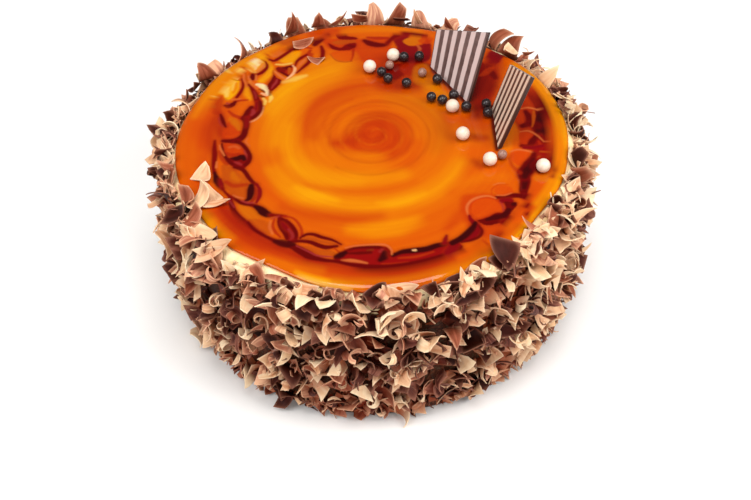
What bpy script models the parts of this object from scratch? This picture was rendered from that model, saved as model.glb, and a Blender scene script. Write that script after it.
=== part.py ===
"""Round butterscotch cake, uncut: a cream-coated body with chocolate shavings all round its side,
a poured mirror glaze on top, two striped chocolate plates and a scatter of sugar pearls.

Metres, +Z up. The origin is the centre of the cake's flat base. The front is at -Y.
"""
import math
import random
from collections import namedtuple

import bmesh
import bpy
from mathutils import Matrix, Vector

# The body: cream-coated, with a rounded top edge, and a wall thickened by closely packed shavings
CREAM_RADIUS = 0.1045
BODY_HEIGHT = 0.0925
SHOULDER_RADIUS = 0.0065
WALL_RADIUS = 0.1080
WALL_TOP = 0.0800
FOOT_RADIUS = 0.1090
FOOT_BEVEL = 0.0010
SHOULDER_STEPS = 5
TURN_STEPS = 80

# The glaze: a poured layer whose edge runs in waves and sags over the shoulder
GAP = 0.0003
GLAZE_RADIUS = 0.1000
GLAZE_TOP = 0.0950
# waves round the edge: how many, how far out in metres, and where the first one peaks in degrees
GLAZE_WAVES = ((2, 0.0012, -35), (3, 0.0015, 27), (4, 0.0010, 13), (9, 0.0006, -17), (13, 0.0004, 3))
WAVES_START = 0.0700

# The plates: thin chocolate tablets with slanted sides, set in the glaze and leaning back.
# Each has a foot from one spot to another on the glaze, and its top corners from the foot's two ends
PLATES = (("striped_plate_1", (0.0342, 0.0565), (0.0519, 0.0238), (-0.0046, 0.0197), (-0.0036, 0.0397)),
          ("striped_plate_2", (0.0643, 0.0200), (0.0637, -0.0130), (-0.0053, 0.0243), (-0.0059, 0.0428)))
PLATE_THICKNESS = 0.0018
PLATE_LEAN = math.radians(20)
PLATE_DEPTH = 0.0015
PLATE_BEVEL = 0.0002

# The pearls: where each stands on the glaze
WHITE_PEARL_RADIUS = 0.0035
DARK_PEARL_RADIUS = 0.0027
MILK_PEARL_RADIUS = 0.0024
WHITE_PEARLS = ((0.0012, 0.0541), (0.0144, 0.0632), (0.0432, 0.0177),
                (0.0466, -0.0041), (0.0583, -0.0239), (0.0838, -0.0306))
DARK_PEARLS = ((0.0074, 0.0500), (0.0106, 0.0443), (0.0204, 0.0397), (0.0202, 0.0621),
               (0.0286, 0.0621), (0.0370, 0.0414), (0.0328, 0.0268), (0.0384, 0.0240),
               (0.0446, 0.0276), (0.0504, 0.0178), (0.0610, 0.0122), (0.0610, 0.0190))
MILK_PEARLS = ((0.0120, 0.0558), (0.0294, 0.0479), (0.0649, -0.0200))

# The shavings: curled petals of chocolate pressed into the side, root end in the cream.
# Ranges run from the least to the most, turns in radians
SIDE_COUNT = 160
RIM_COUNT = 36
SHAVING_SEED = 33
SHAVING_THICKNESS = 0.0009
SHAVING_STEPS = 3
LENGTHS = (0.0140, 0.0200)
WIDTHS = (0.0095, 0.0135)
BENDS = (1.2, 3.4)
TAPERS = (0.35, 0.85)
SKEWS = (-0.35, 0.35)
TWISTS = (-0.45, 0.45)
STANDS = (-0.95, 0.95)
ROLLS = (-0.6, 0.6)
RIM_SWAYS = (-0.5, 0.5)
RIM_LEANS = (0.2, 0.9)
RIM_ROLLS = (-0.7, 0.7)
ROOT_RADIUS = 0.1055
RIM_ROOT_RADIUS = 0.1015
OUTER_RADIUS = 0.1185
LOWEST = 0.0006
FIRST_ROW = 0.0050
LAST_ROW = 0.0840
RIM_ROW = 0.0920
RIM_JITTER = 0.0030
RIM_SHIFTS = (-0.4, 0.4)
HIGHEST_TIP = 0.1020
RIM_CLEARANCE = 0.0010
MOST_SLIDE = 0.0050
SHARP_ANGLE = math.radians(25)
GOLDEN_ANGLE = math.pi * (3 - math.sqrt(5))

# The shavings that fell on the glaze: x, y, heading in degrees, length and width
FALLEN_SINK = 0.0009
FALLEN_BEND = 1.3
FALLEN_TAPER = 0.75
FALLEN_SKEW = 0.2
FALLEN_TWIST = 0.2
FALLEN = ((-0.0848, -0.0205, 75, 0.0125, 0.0105),
          (-0.0800, -0.0350, 115, 0.0150, 0.0080),
          (-0.0356, 0.0818, 20, 0.0120, 0.0095),
          (-0.0288, 0.0667, 150, 0.0085, 0.0060))

CREAM = (0.90, 0.76, 0.52, 1)
CARAMEL = (0.85, 0.26, 0.01, 1)
DARK_CHOCOLATE = (0.06, 0.03, 0.025, 1)
MILK_CHOCOLATE = (0.25, 0.12, 0.08, 1)
WHITE_CHOCOLATE = (0.90, 0.80, 0.68, 1)

Shaving = namedtuple("Shaving", "length width bend taper skew twist")


def material(name, colour, roughness):
    """Plain Principled material."""
    made = bpy.data.materials.new(name)
    made.use_nodes = True
    shader = made.node_tree.nodes["Principled BSDF"]
    shader.inputs["Base Color"].default_value = colour
    shader.inputs["Roughness"].default_value = roughness
    return made


def add_object(name, mesh, collection, finish=None):
    """New object for a mesh, in the collection."""
    made = bpy.data.objects.new(name, mesh)
    if finish:
        mesh.materials.clear()
        mesh.materials.append(finish)
    collection.objects.link(made)
    return made


def applied(piece):
    """The piece with its modifiers applied."""
    bpy.context.view_layer.update()
    seen = piece.evaluated_get(bpy.context.evaluated_depsgraph_get())
    mesh = bpy.data.meshes.new_from_object(seen)
    piece.modifiers.clear()
    piece.data = mesh
    return piece


def turned(name, profile, collection, finish):
    """Solid of revolution about Z from a profile of (radius, height) points."""
    mesh = bpy.data.meshes.new(name)
    bm = bmesh.new()
    points = [bm.verts.new((radius, 0, height)) for radius, height in profile]
    for start, end in zip(points, points[1:]):
        bm.edges.new((start, end))
    bm.to_mesh(mesh)
    bm.free()
    piece = add_object(name, mesh, collection, finish)
    screw = piece.modifiers.new("turn", "SCREW")
    screw.steps = screw.render_steps = TURN_STEPS
    screw.use_merge_vertices = True
    screw.merge_threshold = 0.00001
    return applied(piece)


def cream_height(radius):
    """Height of the cream's top surface: flat, then down the rounded shoulder."""
    past = radius - (CREAM_RADIUS - SHOULDER_RADIUS)
    if past <= 0:
        return BODY_HEIGHT
    past = min(past, SHOULDER_RADIUS)
    return BODY_HEIGHT - SHOULDER_RADIUS + math.sqrt(SHOULDER_RADIUS ** 2 - past ** 2)


def make_body(collection, finish):
    """Cream-coated body, round and uncut."""
    profile = [(0, BODY_HEIGHT)]
    for step in range(SHOULDER_STEPS + 1):
        turn = 0.5 * math.pi * step / SHOULDER_STEPS
        profile.append((CREAM_RADIUS - SHOULDER_RADIUS * (1 - math.sin(turn)),
                        BODY_HEIGHT - SHOULDER_RADIUS * (1 - math.cos(turn))))
    profile += [(WALL_RADIUS, WALL_TOP), (FOOT_RADIUS, FOOT_BEVEL), (FOOT_RADIUS - FOOT_BEVEL, 0), (0, 0)]
    return turned("cake", profile, collection, finish)


def wave(angle):
    """How far the glaze's edge runs out beyond its mean radius in this direction."""
    return sum(depth * math.cos(count * (angle - math.radians(peak)))
               for count, depth, peak in GLAZE_WAVES)


def make_glaze(collection, finish):
    """Poured layer: turned over a flat top, then its edge is moved out in waves and laid on the shoulder."""
    thick = GLAZE_TOP - BODY_HEIGHT
    # (radius, height above the cream): down over the edge and back along the underside
    section = [(0, thick), (0.088, thick), (0.095, 0.97 * thick), (0.098, 0.85 * thick),
               (0.0995, 0.64 * thick), (GLAZE_RADIUS, 0.42 * thick), (0.0996, 0.22 * thick),
               (0.0986, GAP), (0.0970, GAP), (0.0950, GAP), (0.0930, GAP), (0, GAP)]
    profile = [(radius, BODY_HEIGHT + height) for radius, height in section]
    glaze = turned("glaze", profile, collection, finish)
    for vertex in glaze.data.vertices:
        x, y, z = vertex.co
        radius = math.hypot(x, y)
        if radius > WAVES_START:
            angle = math.atan2(y, x)
            share = (radius - WAVES_START) / (GLAZE_RADIUS - WAVES_START)
            moved = radius + share ** 2 * wave(angle)
            height = z - BODY_HEIGHT + cream_height(moved)
            vertex.co = (moved * math.cos(angle), moved * math.sin(angle), height)
    return glaze


def shaving_point(s, t, shape):
    """Point of a shaving's middle surface: s runs along it and t across it, both from -1 to 1."""
    half_width = 0.5 * shape.width * (1 - shape.taper * (0.5 + 0.5 * s) ** 2)
    radius = shape.length / shape.bend
    turn = 0.5 * shape.bend * (s + shape.skew * t)
    across = t * half_width
    twist = shape.twist * s
    rise = radius * (1 - math.cos(turn))
    return Vector((radius * math.sin(turn),
                   across * math.cos(twist) - rise * math.sin(twist),
                   across * math.sin(twist) + rise * math.cos(twist)))


def shaving_mesh(name, shape):
    """Thin closed curl: a flat grid bent to the shaving's surface, then thickened."""
    bm = bmesh.new()
    bmesh.ops.create_grid(bm, x_segments=SHAVING_STEPS, y_segments=1, size=1)
    for vertex in bm.verts:
        vertex.co = shaving_point(vertex.co.x, vertex.co.y, shape)
    bmesh.ops.solidify(bm, geom=bm.faces[:], thickness=SHAVING_THICKNESS)
    bmesh.ops.recalc_face_normals(bm, faces=bm.faces)
    mesh = bpy.data.meshes.new(name)
    bm.to_mesh(mesh)
    bm.free()
    return mesh


def draw_shape(rng):
    """One of the larger shavings: a broad petal, pointed at one end."""
    return Shaving(length=rng.uniform(*LENGTHS), width=rng.uniform(*WIDTHS), bend=rng.uniform(*BENDS),
                   taper=rng.uniform(*TAPERS), skew=rng.uniform(*SKEWS), twist=rng.uniform(*TWISTS))


def draw_turn(rng):
    """How a shaving is turned: spun flat on the wall, stood up from it and rolled."""
    return (Matrix.Rotation(rng.uniform(0, 2 * math.pi), 4, "Z")
            @ Matrix.Rotation(rng.uniform(*STANDS), 4, "Y")
            @ Matrix.Rotation(rng.uniform(*ROLLS), 4, "X"))


def draw_rim_turn(rng):
    """How a shaving at the rim is turned: pointed end up, leaning out from the cake."""
    return (Matrix.Rotation(0.5 * math.pi + rng.uniform(*RIM_SWAYS), 4, "Z")
            @ Matrix.Rotation(-rng.uniform(*RIM_LEANS), 4, "Y")
            @ Matrix.Rotation(rng.uniform(*RIM_ROLLS), 4, "X"))


def wall_frame(angle):
    """Rotation whose Z points out of the wall at this angle, with Y up."""
    outward = Vector((math.cos(angle), math.sin(angle), 0))
    up = Vector((0, 0, 1))
    return Matrix((up.cross(outward), up, outward)).transposed().to_4x4()


def rim_overlap(points):
    """How far the points reach in over the glaze's edge."""
    low = BODY_HEIGHT - SHOULDER_RADIUS
    worst = 0.0
    for point in points:
        if point.z > low:
            edge = GLAZE_RADIUS + wave(math.atan2(point.y, point.x)) + RIM_CLEARANCE
            worst = max(worst, edge - math.hypot(point.x, point.y))
    return worst


def placed_on_wall(mesh, turn, angle, height, root_radius):
    """World matrix of a shaving pressed into the wall, or None where it would lie over the glaze."""
    outward = Vector((math.cos(angle), math.sin(angle), 0))
    rotation = wall_frame(angle) @ turn
    points = [rotation @ vertex.co for vertex in mesh.vertices]
    root = min(point.dot(outward) for point in points)
    reach = max(point.dot(outward) for point in points)
    out = min(root_radius - root, OUTER_RADIUS - reach)
    low = min(point.z for point in points)
    high = max(point.z for point in points)
    height = min(max(height, LOWEST - low), HIGHEST_TIP - high)
    place = outward * out + Vector((0, 0, height))
    slide = rim_overlap([point + place for point in points])
    if slide > MOST_SLIDE:
        return None
    return Matrix.Translation(place + outward * slide) @ rotation


def make_side_shavings(collection):
    """Shavings spread evenly over the wall along a golden-angle spiral, then a row round the rim."""
    rng = random.Random(SHAVING_SEED)
    spots = []
    for index in range(SIDE_COUNT):
        height = FIRST_ROW + (LAST_ROW - FIRST_ROW) * (index + 0.5) / SIDE_COUNT
        spots.append((index * GOLDEN_ANGLE, height, ROOT_RADIUS, draw_turn(rng)))
    for index in range(RIM_COUNT):
        angle = 2 * math.pi * (index + rng.uniform(*RIM_SHIFTS)) / RIM_COUNT
        height = RIM_ROW + rng.uniform(-RIM_JITTER, RIM_JITTER)
        spots.append((angle, height, RIM_ROOT_RADIUS, draw_rim_turn(rng)))
    for angle, height, root_radius, turn in spots:
        mesh = shaving_mesh("shaving", draw_shape(rng))
        matrix = placed_on_wall(mesh, turn, angle, height, root_radius)
        if matrix:
            add_object("shaving", mesh, collection).matrix_world = matrix


def make_fallen_shavings(collection):
    """Shavings lying on the glaze, each like a shallow boat that rests on its belly."""
    for x, y, heading, length, width in FALLEN:
        shape = Shaving(length, width, FALLEN_BEND, FALLEN_TAPER, FALLEN_SKEW, FALLEN_TWIST)
        mesh = shaving_mesh("fallen", shape)
        lowest = min(vertex.co.z for vertex in mesh.vertices)
        place = Vector((x, y, GLAZE_TOP - FALLEN_SINK - lowest))
        turn = Matrix.Rotation(math.radians(heading), 4, "Z")
        add_object("fallen", mesh, collection).matrix_world = Matrix.Translation(place) @ turn


def keep_outer_shell(mesh):
    """Only the largest connected surface stays, so no sealed hollow or loose scrap is left."""
    bm = bmesh.new()
    bm.from_mesh(mesh)
    bmesh.ops.triangulate(bm, faces=bm.faces)
    left = set(bm.faces)
    shells = []
    while left:
        shell = {left.pop()}
        border = list(shell)
        while border:
            for edge in border.pop().edges:
                found = left.intersection(edge.link_faces)
                left -= found
                shell |= found
                border.extend(found)
        shells.append(shell)
    largest = max(shells, key=lambda shell: sum(face.calc_area() for face in shell))
    spare = [face for shell in shells if shell is not largest for face in shell]
    bmesh.ops.delete(bm, geom=spare, context="FACES")
    bm.to_mesh(mesh)
    bm.free()


def fuse(piece, toppings, solver):
    """One Boolean union of the piece with every object of a collection, which is then removed."""
    union = piece.modifiers.new("fuse", "BOOLEAN")
    union.operation = "UNION"
    union.solver = solver
    union.operand_type = "COLLECTION"
    union.collection = toppings
    finish = piece.data.materials[0]
    applied(piece)
    for topping in list(toppings.objects):
        bpy.data.objects.remove(topping)
    bpy.data.collections.remove(toppings)
    keep_outer_shell(piece.data)
    piece.data.materials.clear()
    piece.data.materials.append(finish)
    piece.data.shade_smooth()
    piece.data.set_sharp_from_angle(angle=SHARP_ANGLE)


def plate_frame(start, end):
    """World matrix of a plate: X along its foot, Y up its leaning face, Z through its thickness."""
    along = (Vector((*end, 0)) - Vector((*start, 0))).normalized()
    back = Vector((-along.y, along.x, 0))
    up = math.cos(PLATE_LEAN) * Vector((0, 0, 1)) + math.sin(PLATE_LEAN) * back
    middle = Vector((*start, GLAZE_TOP)) + back * 0.5 * PLATE_THICKNESS
    rotation = Matrix((along, up, along.cross(up))).transposed().to_4x4()
    return Matrix.Translation(middle) @ rotation


def slanted(point, corner, depth):
    """The point on the line from a top corner through a foot corner, at a depth under the foot."""
    return (point[0] - (corner[0] - point[0]) * depth / corner[1], -depth)


def make_plate(name, start, end, left_top, right_top, collection, finish):
    """Flat tablet with four corners; the tops are given from the foot's own two corners."""
    foot = math.dist(start, end)
    right_corner = (foot + right_top[0], right_top[1])
    outline = [slanted((0, 0), left_top, PLATE_DEPTH), slanted((foot, 0), right_corner, PLATE_DEPTH),
               right_corner, left_top]
    curve = bpy.data.curves.new(name, "CURVE")
    curve.dimensions = "2D"
    curve.fill_mode = "BOTH"
    curve.extrude = 0.5 * PLATE_THICKNESS
    spline = curve.splines.new("POLY")
    spline.points.add(len(outline) - 1)
    for point, (x, y) in zip(spline.points, outline):
        point.co = (x, y, 0, 1)
    spline.use_cyclic_u = True
    drawn = add_object(name + "_outline", curve, collection)
    drawn.matrix_world = plate_frame(start, end)
    plate = add_object(name, welded_copy(drawn), collection, finish)
    plate.matrix_world = drawn.matrix_world.copy()
    bpy.data.objects.remove(drawn)
    bevel = plate.modifiers.new("soft edges", "BEVEL")
    bevel.width = PLATE_BEVEL
    bevel.segments = 1
    return plate


def welded_copy(drawn):
    """Closed mesh of an extruded outline, with its caps welded on."""
    bpy.context.view_layer.update()
    seen = drawn.evaluated_get(bpy.context.evaluated_depsgraph_get())
    mesh = bpy.data.meshes.new_from_object(seen)
    bm = bmesh.new()
    bm.from_mesh(mesh)
    bmesh.ops.remove_doubles(bm, verts=bm.verts, dist=0.00001)
    bmesh.ops.recalc_face_normals(bm, faces=bm.faces)
    bm.to_mesh(mesh)
    bm.free()
    return mesh


def cut_groove(glaze, start, end, cutters):
    """Groove in the glaze round a plate's foot, clear of it by the gap on every side."""
    length = math.dist(start, end)
    bpy.ops.mesh.primitive_cube_add(size=1)
    cutter = bpy.context.object
    for holder in cutter.users_collection:
        holder.objects.unlink(cutter)
    cutters.objects.link(cutter)
    depth = PLATE_DEPTH + 2 * GAP
    size = Vector((length + 2 * PLATE_DEPTH + 2 * GAP, 4 * depth, PLATE_THICKNESS + 2 * GAP))
    centre = Vector((0.5 * length, depth, 0))
    cutter.matrix_world = (plate_frame(start, end) @ Matrix.Translation(centre)
                           @ Matrix.Diagonal(size).to_4x4())
    cutter.hide_render = True
    cutter.display_type = "WIRE"
    cut = glaze.modifiers.new("groove", "BOOLEAN")
    cut.operation = "DIFFERENCE"
    cut.solver = "EXACT"
    cut.object = cutter


def make_pearls(name, spots, radius, collection, finish):
    """Round sugar pearls standing on the glaze, all of one kind sharing a mesh."""
    bpy.ops.mesh.primitive_ico_sphere_add(subdivisions=2, radius=radius)
    first = bpy.context.object
    mesh = first.data
    mesh.shade_smooth()
    bpy.data.objects.remove(first)
    for number, (x, y) in enumerate(spots, 1):
        pearl = add_object(f"{name}_{number}", mesh, collection, finish)
        pearl.location = (x, y, GLAZE_TOP + GAP + radius)


def new_collection(name):
    """New collection in the scene."""
    made = bpy.data.collections.new(name)
    bpy.context.scene.collection.children.link(made)
    return made


def main():
    """Makes the cake from an empty scene."""
    for old in list(bpy.data.objects):
        bpy.data.objects.remove(old)
    parts = new_collection("butterscotch_cake")
    cutters = new_collection("cutters")
    cream = material("cream", CREAM, 0.55)
    caramel = material("caramel_glaze", CARAMEL, 0.08)
    white = material("white_chocolate", WHITE_CHOCOLATE, 0.35)
    milk = material("milk_chocolate", MILK_CHOCOLATE, 0.35)
    dark = material("dark_chocolate", DARK_CHOCOLATE, 0.3)

    body = make_body(parts, cream)
    side = new_collection("side_shavings")
    make_side_shavings(side)
    fuse(body, side, "MANIFOLD")

    glaze = make_glaze(parts, caramel)
    for name, start, end, left_top, right_top in PLATES:
        make_plate(name, start, end, left_top, right_top, parts, dark)
        cut_groove(glaze, start, end, cutters)
    applied(glaze)
    fallen = new_collection("fallen_shavings")
    make_fallen_shavings(fallen)
    fuse(glaze, fallen, "EXACT")

    make_pearls("white_pearl", WHITE_PEARLS, WHITE_PEARL_RADIUS, parts, white)
    make_pearls("dark_pearl", DARK_PEARLS, DARK_PEARL_RADIUS, parts, dark)
    make_pearls("milk_pearl", MILK_PEARLS, MILK_PEARL_RADIUS, parts, milk)


main()
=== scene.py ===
# %% [markdown]
# # An eggless butterscotch cake
#
# A round cream cake under a poured caramel mirror glaze. The glaze is marbled with dark
# curls near its edge, chocolate shavings cover the whole side, and two striped chocolate
# plates stand among sugar pearls on top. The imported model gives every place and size, and
# this lesson dresses it: each step makes one piece or one finish.

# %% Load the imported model
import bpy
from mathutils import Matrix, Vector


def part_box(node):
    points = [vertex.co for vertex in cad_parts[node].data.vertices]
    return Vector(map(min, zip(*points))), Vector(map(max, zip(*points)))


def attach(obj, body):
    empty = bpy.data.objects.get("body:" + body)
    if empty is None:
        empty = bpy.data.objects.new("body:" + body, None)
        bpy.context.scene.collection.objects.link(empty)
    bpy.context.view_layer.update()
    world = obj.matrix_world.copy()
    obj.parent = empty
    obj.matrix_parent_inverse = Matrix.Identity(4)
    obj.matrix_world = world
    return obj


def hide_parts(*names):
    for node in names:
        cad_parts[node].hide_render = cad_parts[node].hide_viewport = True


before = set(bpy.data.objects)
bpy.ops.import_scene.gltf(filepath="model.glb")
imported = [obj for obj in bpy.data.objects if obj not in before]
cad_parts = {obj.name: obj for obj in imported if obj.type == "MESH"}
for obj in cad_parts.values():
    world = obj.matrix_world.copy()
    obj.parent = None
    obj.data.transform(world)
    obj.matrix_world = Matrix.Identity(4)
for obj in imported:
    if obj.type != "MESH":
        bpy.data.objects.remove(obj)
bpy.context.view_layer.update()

# %% Tools that the later cells use
import math
import random
from collections import namedtuple

import bmesh
import bpy
import numpy as np
from mathutils import Matrix, Vector

MM = 0.001
UP = Vector((0, 0, 1))
TINY = 1e-12
FAR = 99.0

# %% [markdown]
# ## Camera
#
# The photographer stood in front of the cake and looked down at it from about 48 degrees,
# with the camera turned a little. The place and turn below were found by matching the
# glaze's rim and the shavings' outline, so every other piece can be placed one by one.

# %% Camera
CAMERA_SPOT = Vector((0, -0.4193, 0.4699))
CAMERA_YAW = math.radians(-0.107)
CAMERA_PITCH = math.radians(47.658)
CAMERA_ROLL = math.radians(-2.975)
CAMERA_LENS = 52.287
SENSOR_WIDTH = 36.0


def make_camera():
    """Camera at the photographer's spot, looking down at the cake."""
    forward = Vector((math.sin(CAMERA_YAW) * math.cos(CAMERA_PITCH),
                      math.cos(CAMERA_YAW) * math.cos(CAMERA_PITCH),
                      -math.sin(CAMERA_PITCH)))
    level_right = forward.cross(UP).normalized()
    level_up = level_right.cross(forward)
    right = math.cos(CAMERA_ROLL) * level_right + math.sin(CAMERA_ROLL) * level_up
    above = math.cos(CAMERA_ROLL) * level_up - math.sin(CAMERA_ROLL) * level_right
    turn = Matrix((right, above, -forward)).transposed().to_4x4()
    lens = bpy.data.cameras.new("camera")
    lens.sensor_width = SENSOR_WIDTH
    lens.lens = CAMERA_LENS
    lens.clip_start = 0.01
    camera = bpy.data.objects.new("camera", lens)
    camera.matrix_world = Matrix.Translation(CAMERA_SPOT) @ turn
    bpy.context.scene.collection.objects.link(camera)
    bpy.context.scene.camera = camera
    return camera


camera = make_camera()
print("camera", [round(value, 3) for value in camera.matrix_world.translation])

# %% [markdown]
# ## Mesh helpers
#
# Thousands of thin shavings are quickest as arrays of points, made all at once with numpy.
# Blender then takes the arrays in one go, which is far faster than adding faces one by one.


# %% Meshes from arrays
def mesh_piece(name, points, faces, finish):
    """Object from an array of points and a list of face arrays, each with one corner count."""
    mesh = bpy.data.meshes.new(name)
    mesh.vertices.add(len(points))
    mesh.vertices.foreach_set("co", np.ascontiguousarray(points, np.float32).ravel())
    corners = np.concatenate([group.ravel() for group in faces])
    counts = np.concatenate([np.full(len(group), group.shape[1]) for group in faces])
    mesh.loops.add(len(corners))
    mesh.loops.foreach_set("vertex_index", corners.astype(np.int32))
    mesh.polygons.add(len(counts))
    starts = np.concatenate([[0], np.cumsum(counts)[:-1]])
    mesh.polygons.foreach_set("loop_start", starts.astype(np.int32))
    mesh.update(calc_edges=True)
    mesh.validate()
    mesh.shade_smooth()
    mesh.materials.append(finish)
    piece = bpy.data.objects.new(name, mesh)
    bpy.context.scene.collection.objects.link(piece)
    return piece


def store(piece, name, values):
    """Numbers kept on the mesh's points, for its material to read."""
    kind, field = ("FLOAT", "value") if values.ndim == 1 else ("FLOAT_VECTOR", "vector")
    layer = piece.data.attributes.new(name, kind, "POINT")
    layer.data.foreach_set(field, np.asarray(values, np.float32).ravel())


def triangles(piece):
    """How many triangles the piece's mesh has."""
    return sum(len(face.vertices) - 2 for face in piece.data.polygons)


def smooth_step(low, high, value):
    """0 below low, 1 above high and a soft ramp between."""
    share = np.clip((value - low) / (high - low), 0, 1)
    return share * share * (3 - 2 * share)


# %% [markdown]
# ## Material helpers
#
# A finish is a small network of shader nodes. Three short helpers add a node, wire it and
# start a material, so each finish below reads as a list of what it is made of.


# %% Nodes in a few words
def add_node(tree, kind, inputs=None, **settings):
    """Node in a tree: settings are its properties, inputs are values or sockets by name."""
    node = tree.nodes.new(kind)
    for key, value in settings.items():
        setattr(node, key, value)
    for key, value in (inputs or {}).items():
        if isinstance(value, bpy.types.NodeSocket):
            tree.links.new(value, node.inputs[key])
        else:
            node.inputs[key].default_value = value
    return node


def number(tree, operation, *values, clamp=False):
    """Socket with the result of one sum."""
    inputs = dict(enumerate(values))
    return add_node(tree, "ShaderNodeMath", inputs, operation=operation, use_clamp=clamp).outputs[0]


def waver(tree, mask, depth, level):
    """Socket with a level that a mask, about 0.5 on average, moves up and down."""
    return number(tree, "MULTIPLY_ADD", number(tree, "SUBTRACT", mask, 0.5), depth, level)


# places of a Mix node's sockets when it mixes colours
MIX_SHARE, MIX_FIRST, MIX_SECOND, MIX_RESULT = 0, 6, 7, 2


def blend_colours(tree, share, first, second):
    """Socket with the first colour turning into the second as the share goes from 0 to 1."""
    inputs = {MIX_SHARE: share, MIX_FIRST: first, MIX_SECOND: second}
    return add_node(tree, "ShaderNodeMix", inputs, data_type="RGBA").outputs[MIX_RESULT]


def ramp(tree, value, stops):
    """Socket with a colour read from a row of (place, colour) stops."""
    node = add_node(tree, "ShaderNodeValToRGB", {"Fac": value})
    row = node.color_ramp.elements
    while len(row) < len(stops):
        row.new(0.5)
    for stop, (place, colour) in zip(row, stops):
        stop.position = place
        stop.color = (*colour, 1)
    return node.outputs["Color"]


def read(tree, name, output="Fac"):
    """Socket with the numbers that the mesh keeps under this name."""
    return add_node(tree, "ShaderNodeAttribute", attribute_name=name).outputs[output]


def new_finish(name, roughness, **constants):
    """Material with a Principled shader; returns it, its tree and the shader."""
    finish = bpy.data.materials.new(name)
    finish.use_nodes = True
    tree = finish.node_tree
    shader = tree.nodes["Principled BSDF"]
    shader.inputs["Roughness"].default_value = roughness
    for key, value in constants.items():
        shader.inputs[key.replace("_", " ")].default_value = value
    return finish, tree, shader


def new_group(name, inputs, outputs):
    """Group with inputs, a number or None for a vector, and typed outputs, for several finishes."""
    group = bpy.data.node_groups.new(name, "ShaderNodeTree")
    for key, value in inputs.items():
        kind = "NodeSocketVector" if value is None else "NodeSocketFloat"
        socket = group.interface.new_socket(key, in_out="INPUT", socket_type=kind)
        if value is not None:
            socket.default_value = value
    for key, kind in outputs.items():
        group.interface.new_socket(key, in_out="OUTPUT", socket_type=kind)
    start = group.nodes.new("NodeGroupInput")
    end = group.nodes.new("NodeGroupOutput")
    return group, start.outputs, end.inputs


def use_group(tree, group, inputs):
    """Outputs of the group placed in a material, with its own values."""
    return add_node(tree, "ShaderNodeGroup", inputs, node_tree=group).outputs


# %% [markdown]
# ## Grain, shared by every finish
#
# Cream, chocolate and sugar all have a fine uneven surface, each at its own size. One node
# group makes it: a soft noise for lumps and a finer one for grain, mixed to a height that a
# Bump node turns into a normal. Each finish sets its own size, depth and share of grain.

# %% Uneven surface group
def make_uneven_group():
    """Height for a Bump node, and a soft mask for uneven colour."""
    group, given, result = new_group(
        "uneven_surface",
        {"Place": None, "Size": 200.0, "Fine Size": 1200.0, "Fine Share": 0.3},
        {"Height": "NodeSocketFloat", "Mask": "NodeSocketFloat"})
    lumps = add_node(group, "ShaderNodeTexNoise",
                     {"Vector": given["Place"], "Scale": given["Size"], "Detail": 3.0})
    grain = add_node(group, "ShaderNodeTexNoise",
                     {"Vector": given["Place"], "Scale": given["Fine Size"], "Detail": 2.0})
    fine = number(group, "MULTIPLY", grain.outputs["Fac"], given["Fine Share"])
    height = number(group, "ADD", lumps.outputs["Fac"], fine)
    group.links.new(height, result["Height"])
    group.links.new(lumps.outputs["Fac"], result["Mask"])
    return group


UNEVEN = make_uneven_group()


def add_bump(tree, shader, height, distance, strength):
    """Bump from a height, wired to the shader's normal."""
    bump = add_node(tree, "ShaderNodeBump",
                    {"Height": height, "Distance": distance, "Strength": strength})
    tree.links.new(bump.outputs["Normal"], shader.inputs["Normal"])


def object_place(tree):
    """Socket with the point's place in metres."""
    return add_node(tree, "ShaderNodeTexCoord").outputs["Object"]


print("group", UNEVEN.name)

# %% [markdown]
# ## The cream coat
#
# Under the shavings the whole cake wears a layer of soft whipped cream, spread with a
# palette knife. It shows between the shavings and in a pale band under the glaze's edge.
# A profile turned about the axis gives its round form, and small smooth swells along and
# up the wall give the knife's uneven marks. Fine crumbs of chocolate stick to the wall, and
# their dark colour is also painted shade in the gaps between the shavings; at the back they
# reach higher.

# %% Sizes of the cake's body
CREAM_RADIUS = 0.1045
BODY_HEIGHT = 0.0925
SHOULDER_RADIUS = 0.0065
# points round, rows down the wall and over the shoulder, radii of the caps and of the flat top
CREAM_TURNS, CREAM_ROWS, SHOULDER_ROWS = 360, 60, 8
CAP_RADIUS, FLAT_RADIUS = 0.0004, 0.09
# knife marks outside a radius: depth, and waves with strength, count round, turn per metre up, start
MARKED_RADIUS, KNIFE_MARK = 0.1, 0.0005
KNIFE_WAVES = ((1.0, 5, 90, 0.0), (1.0, 11, -160, 1.0), (0.7, 23, 310, 0.0))

CREAM_COLOURS = ((0.25, (0.84, 0.56, 0.26)), (0.6, (0.93, 0.73, 0.42)), (0.85, (0.95, 0.80, 0.54)))
# colours of the chocolate crumbs, which also stand as painted shade between the shavings
CRUMB_AND_SHADE_COLOURS = ((0.35, (0.022, 0.004, 0.001)), (0.5, (0.060, 0.014, 0.006)), (0.75, (0.17, 0.055, 0.025)))
# crumbs and painted shade end at this height, climb towards the back, and end in a wandering, sharp edge
CRUMB_SHADE_BELOW, CRUMB_SHADE_CLIMB, CRUMB_SHADE_WANDER, CRUMB_SHADE_EDGE = 0.083, 0.15, 0.02, 400.0
# where a gap between crumbs turns to a crumb, how sharply, and how much cream a gap shows
SPECKLE_START, SPECKLE_EDGE, SPECKLE_GAP = 0.38, 14.0, 0.06


def cream_height(radius):
    """Height of the cream's top surface: flat, then down the rounded shoulder."""
    past = np.clip(radius - (CREAM_RADIUS - SHOULDER_RADIUS), 0, SHOULDER_RADIUS)
    return BODY_HEIGHT - SHOULDER_RADIUS + np.sqrt(SHOULDER_RADIUS ** 2 - past ** 2)


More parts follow.
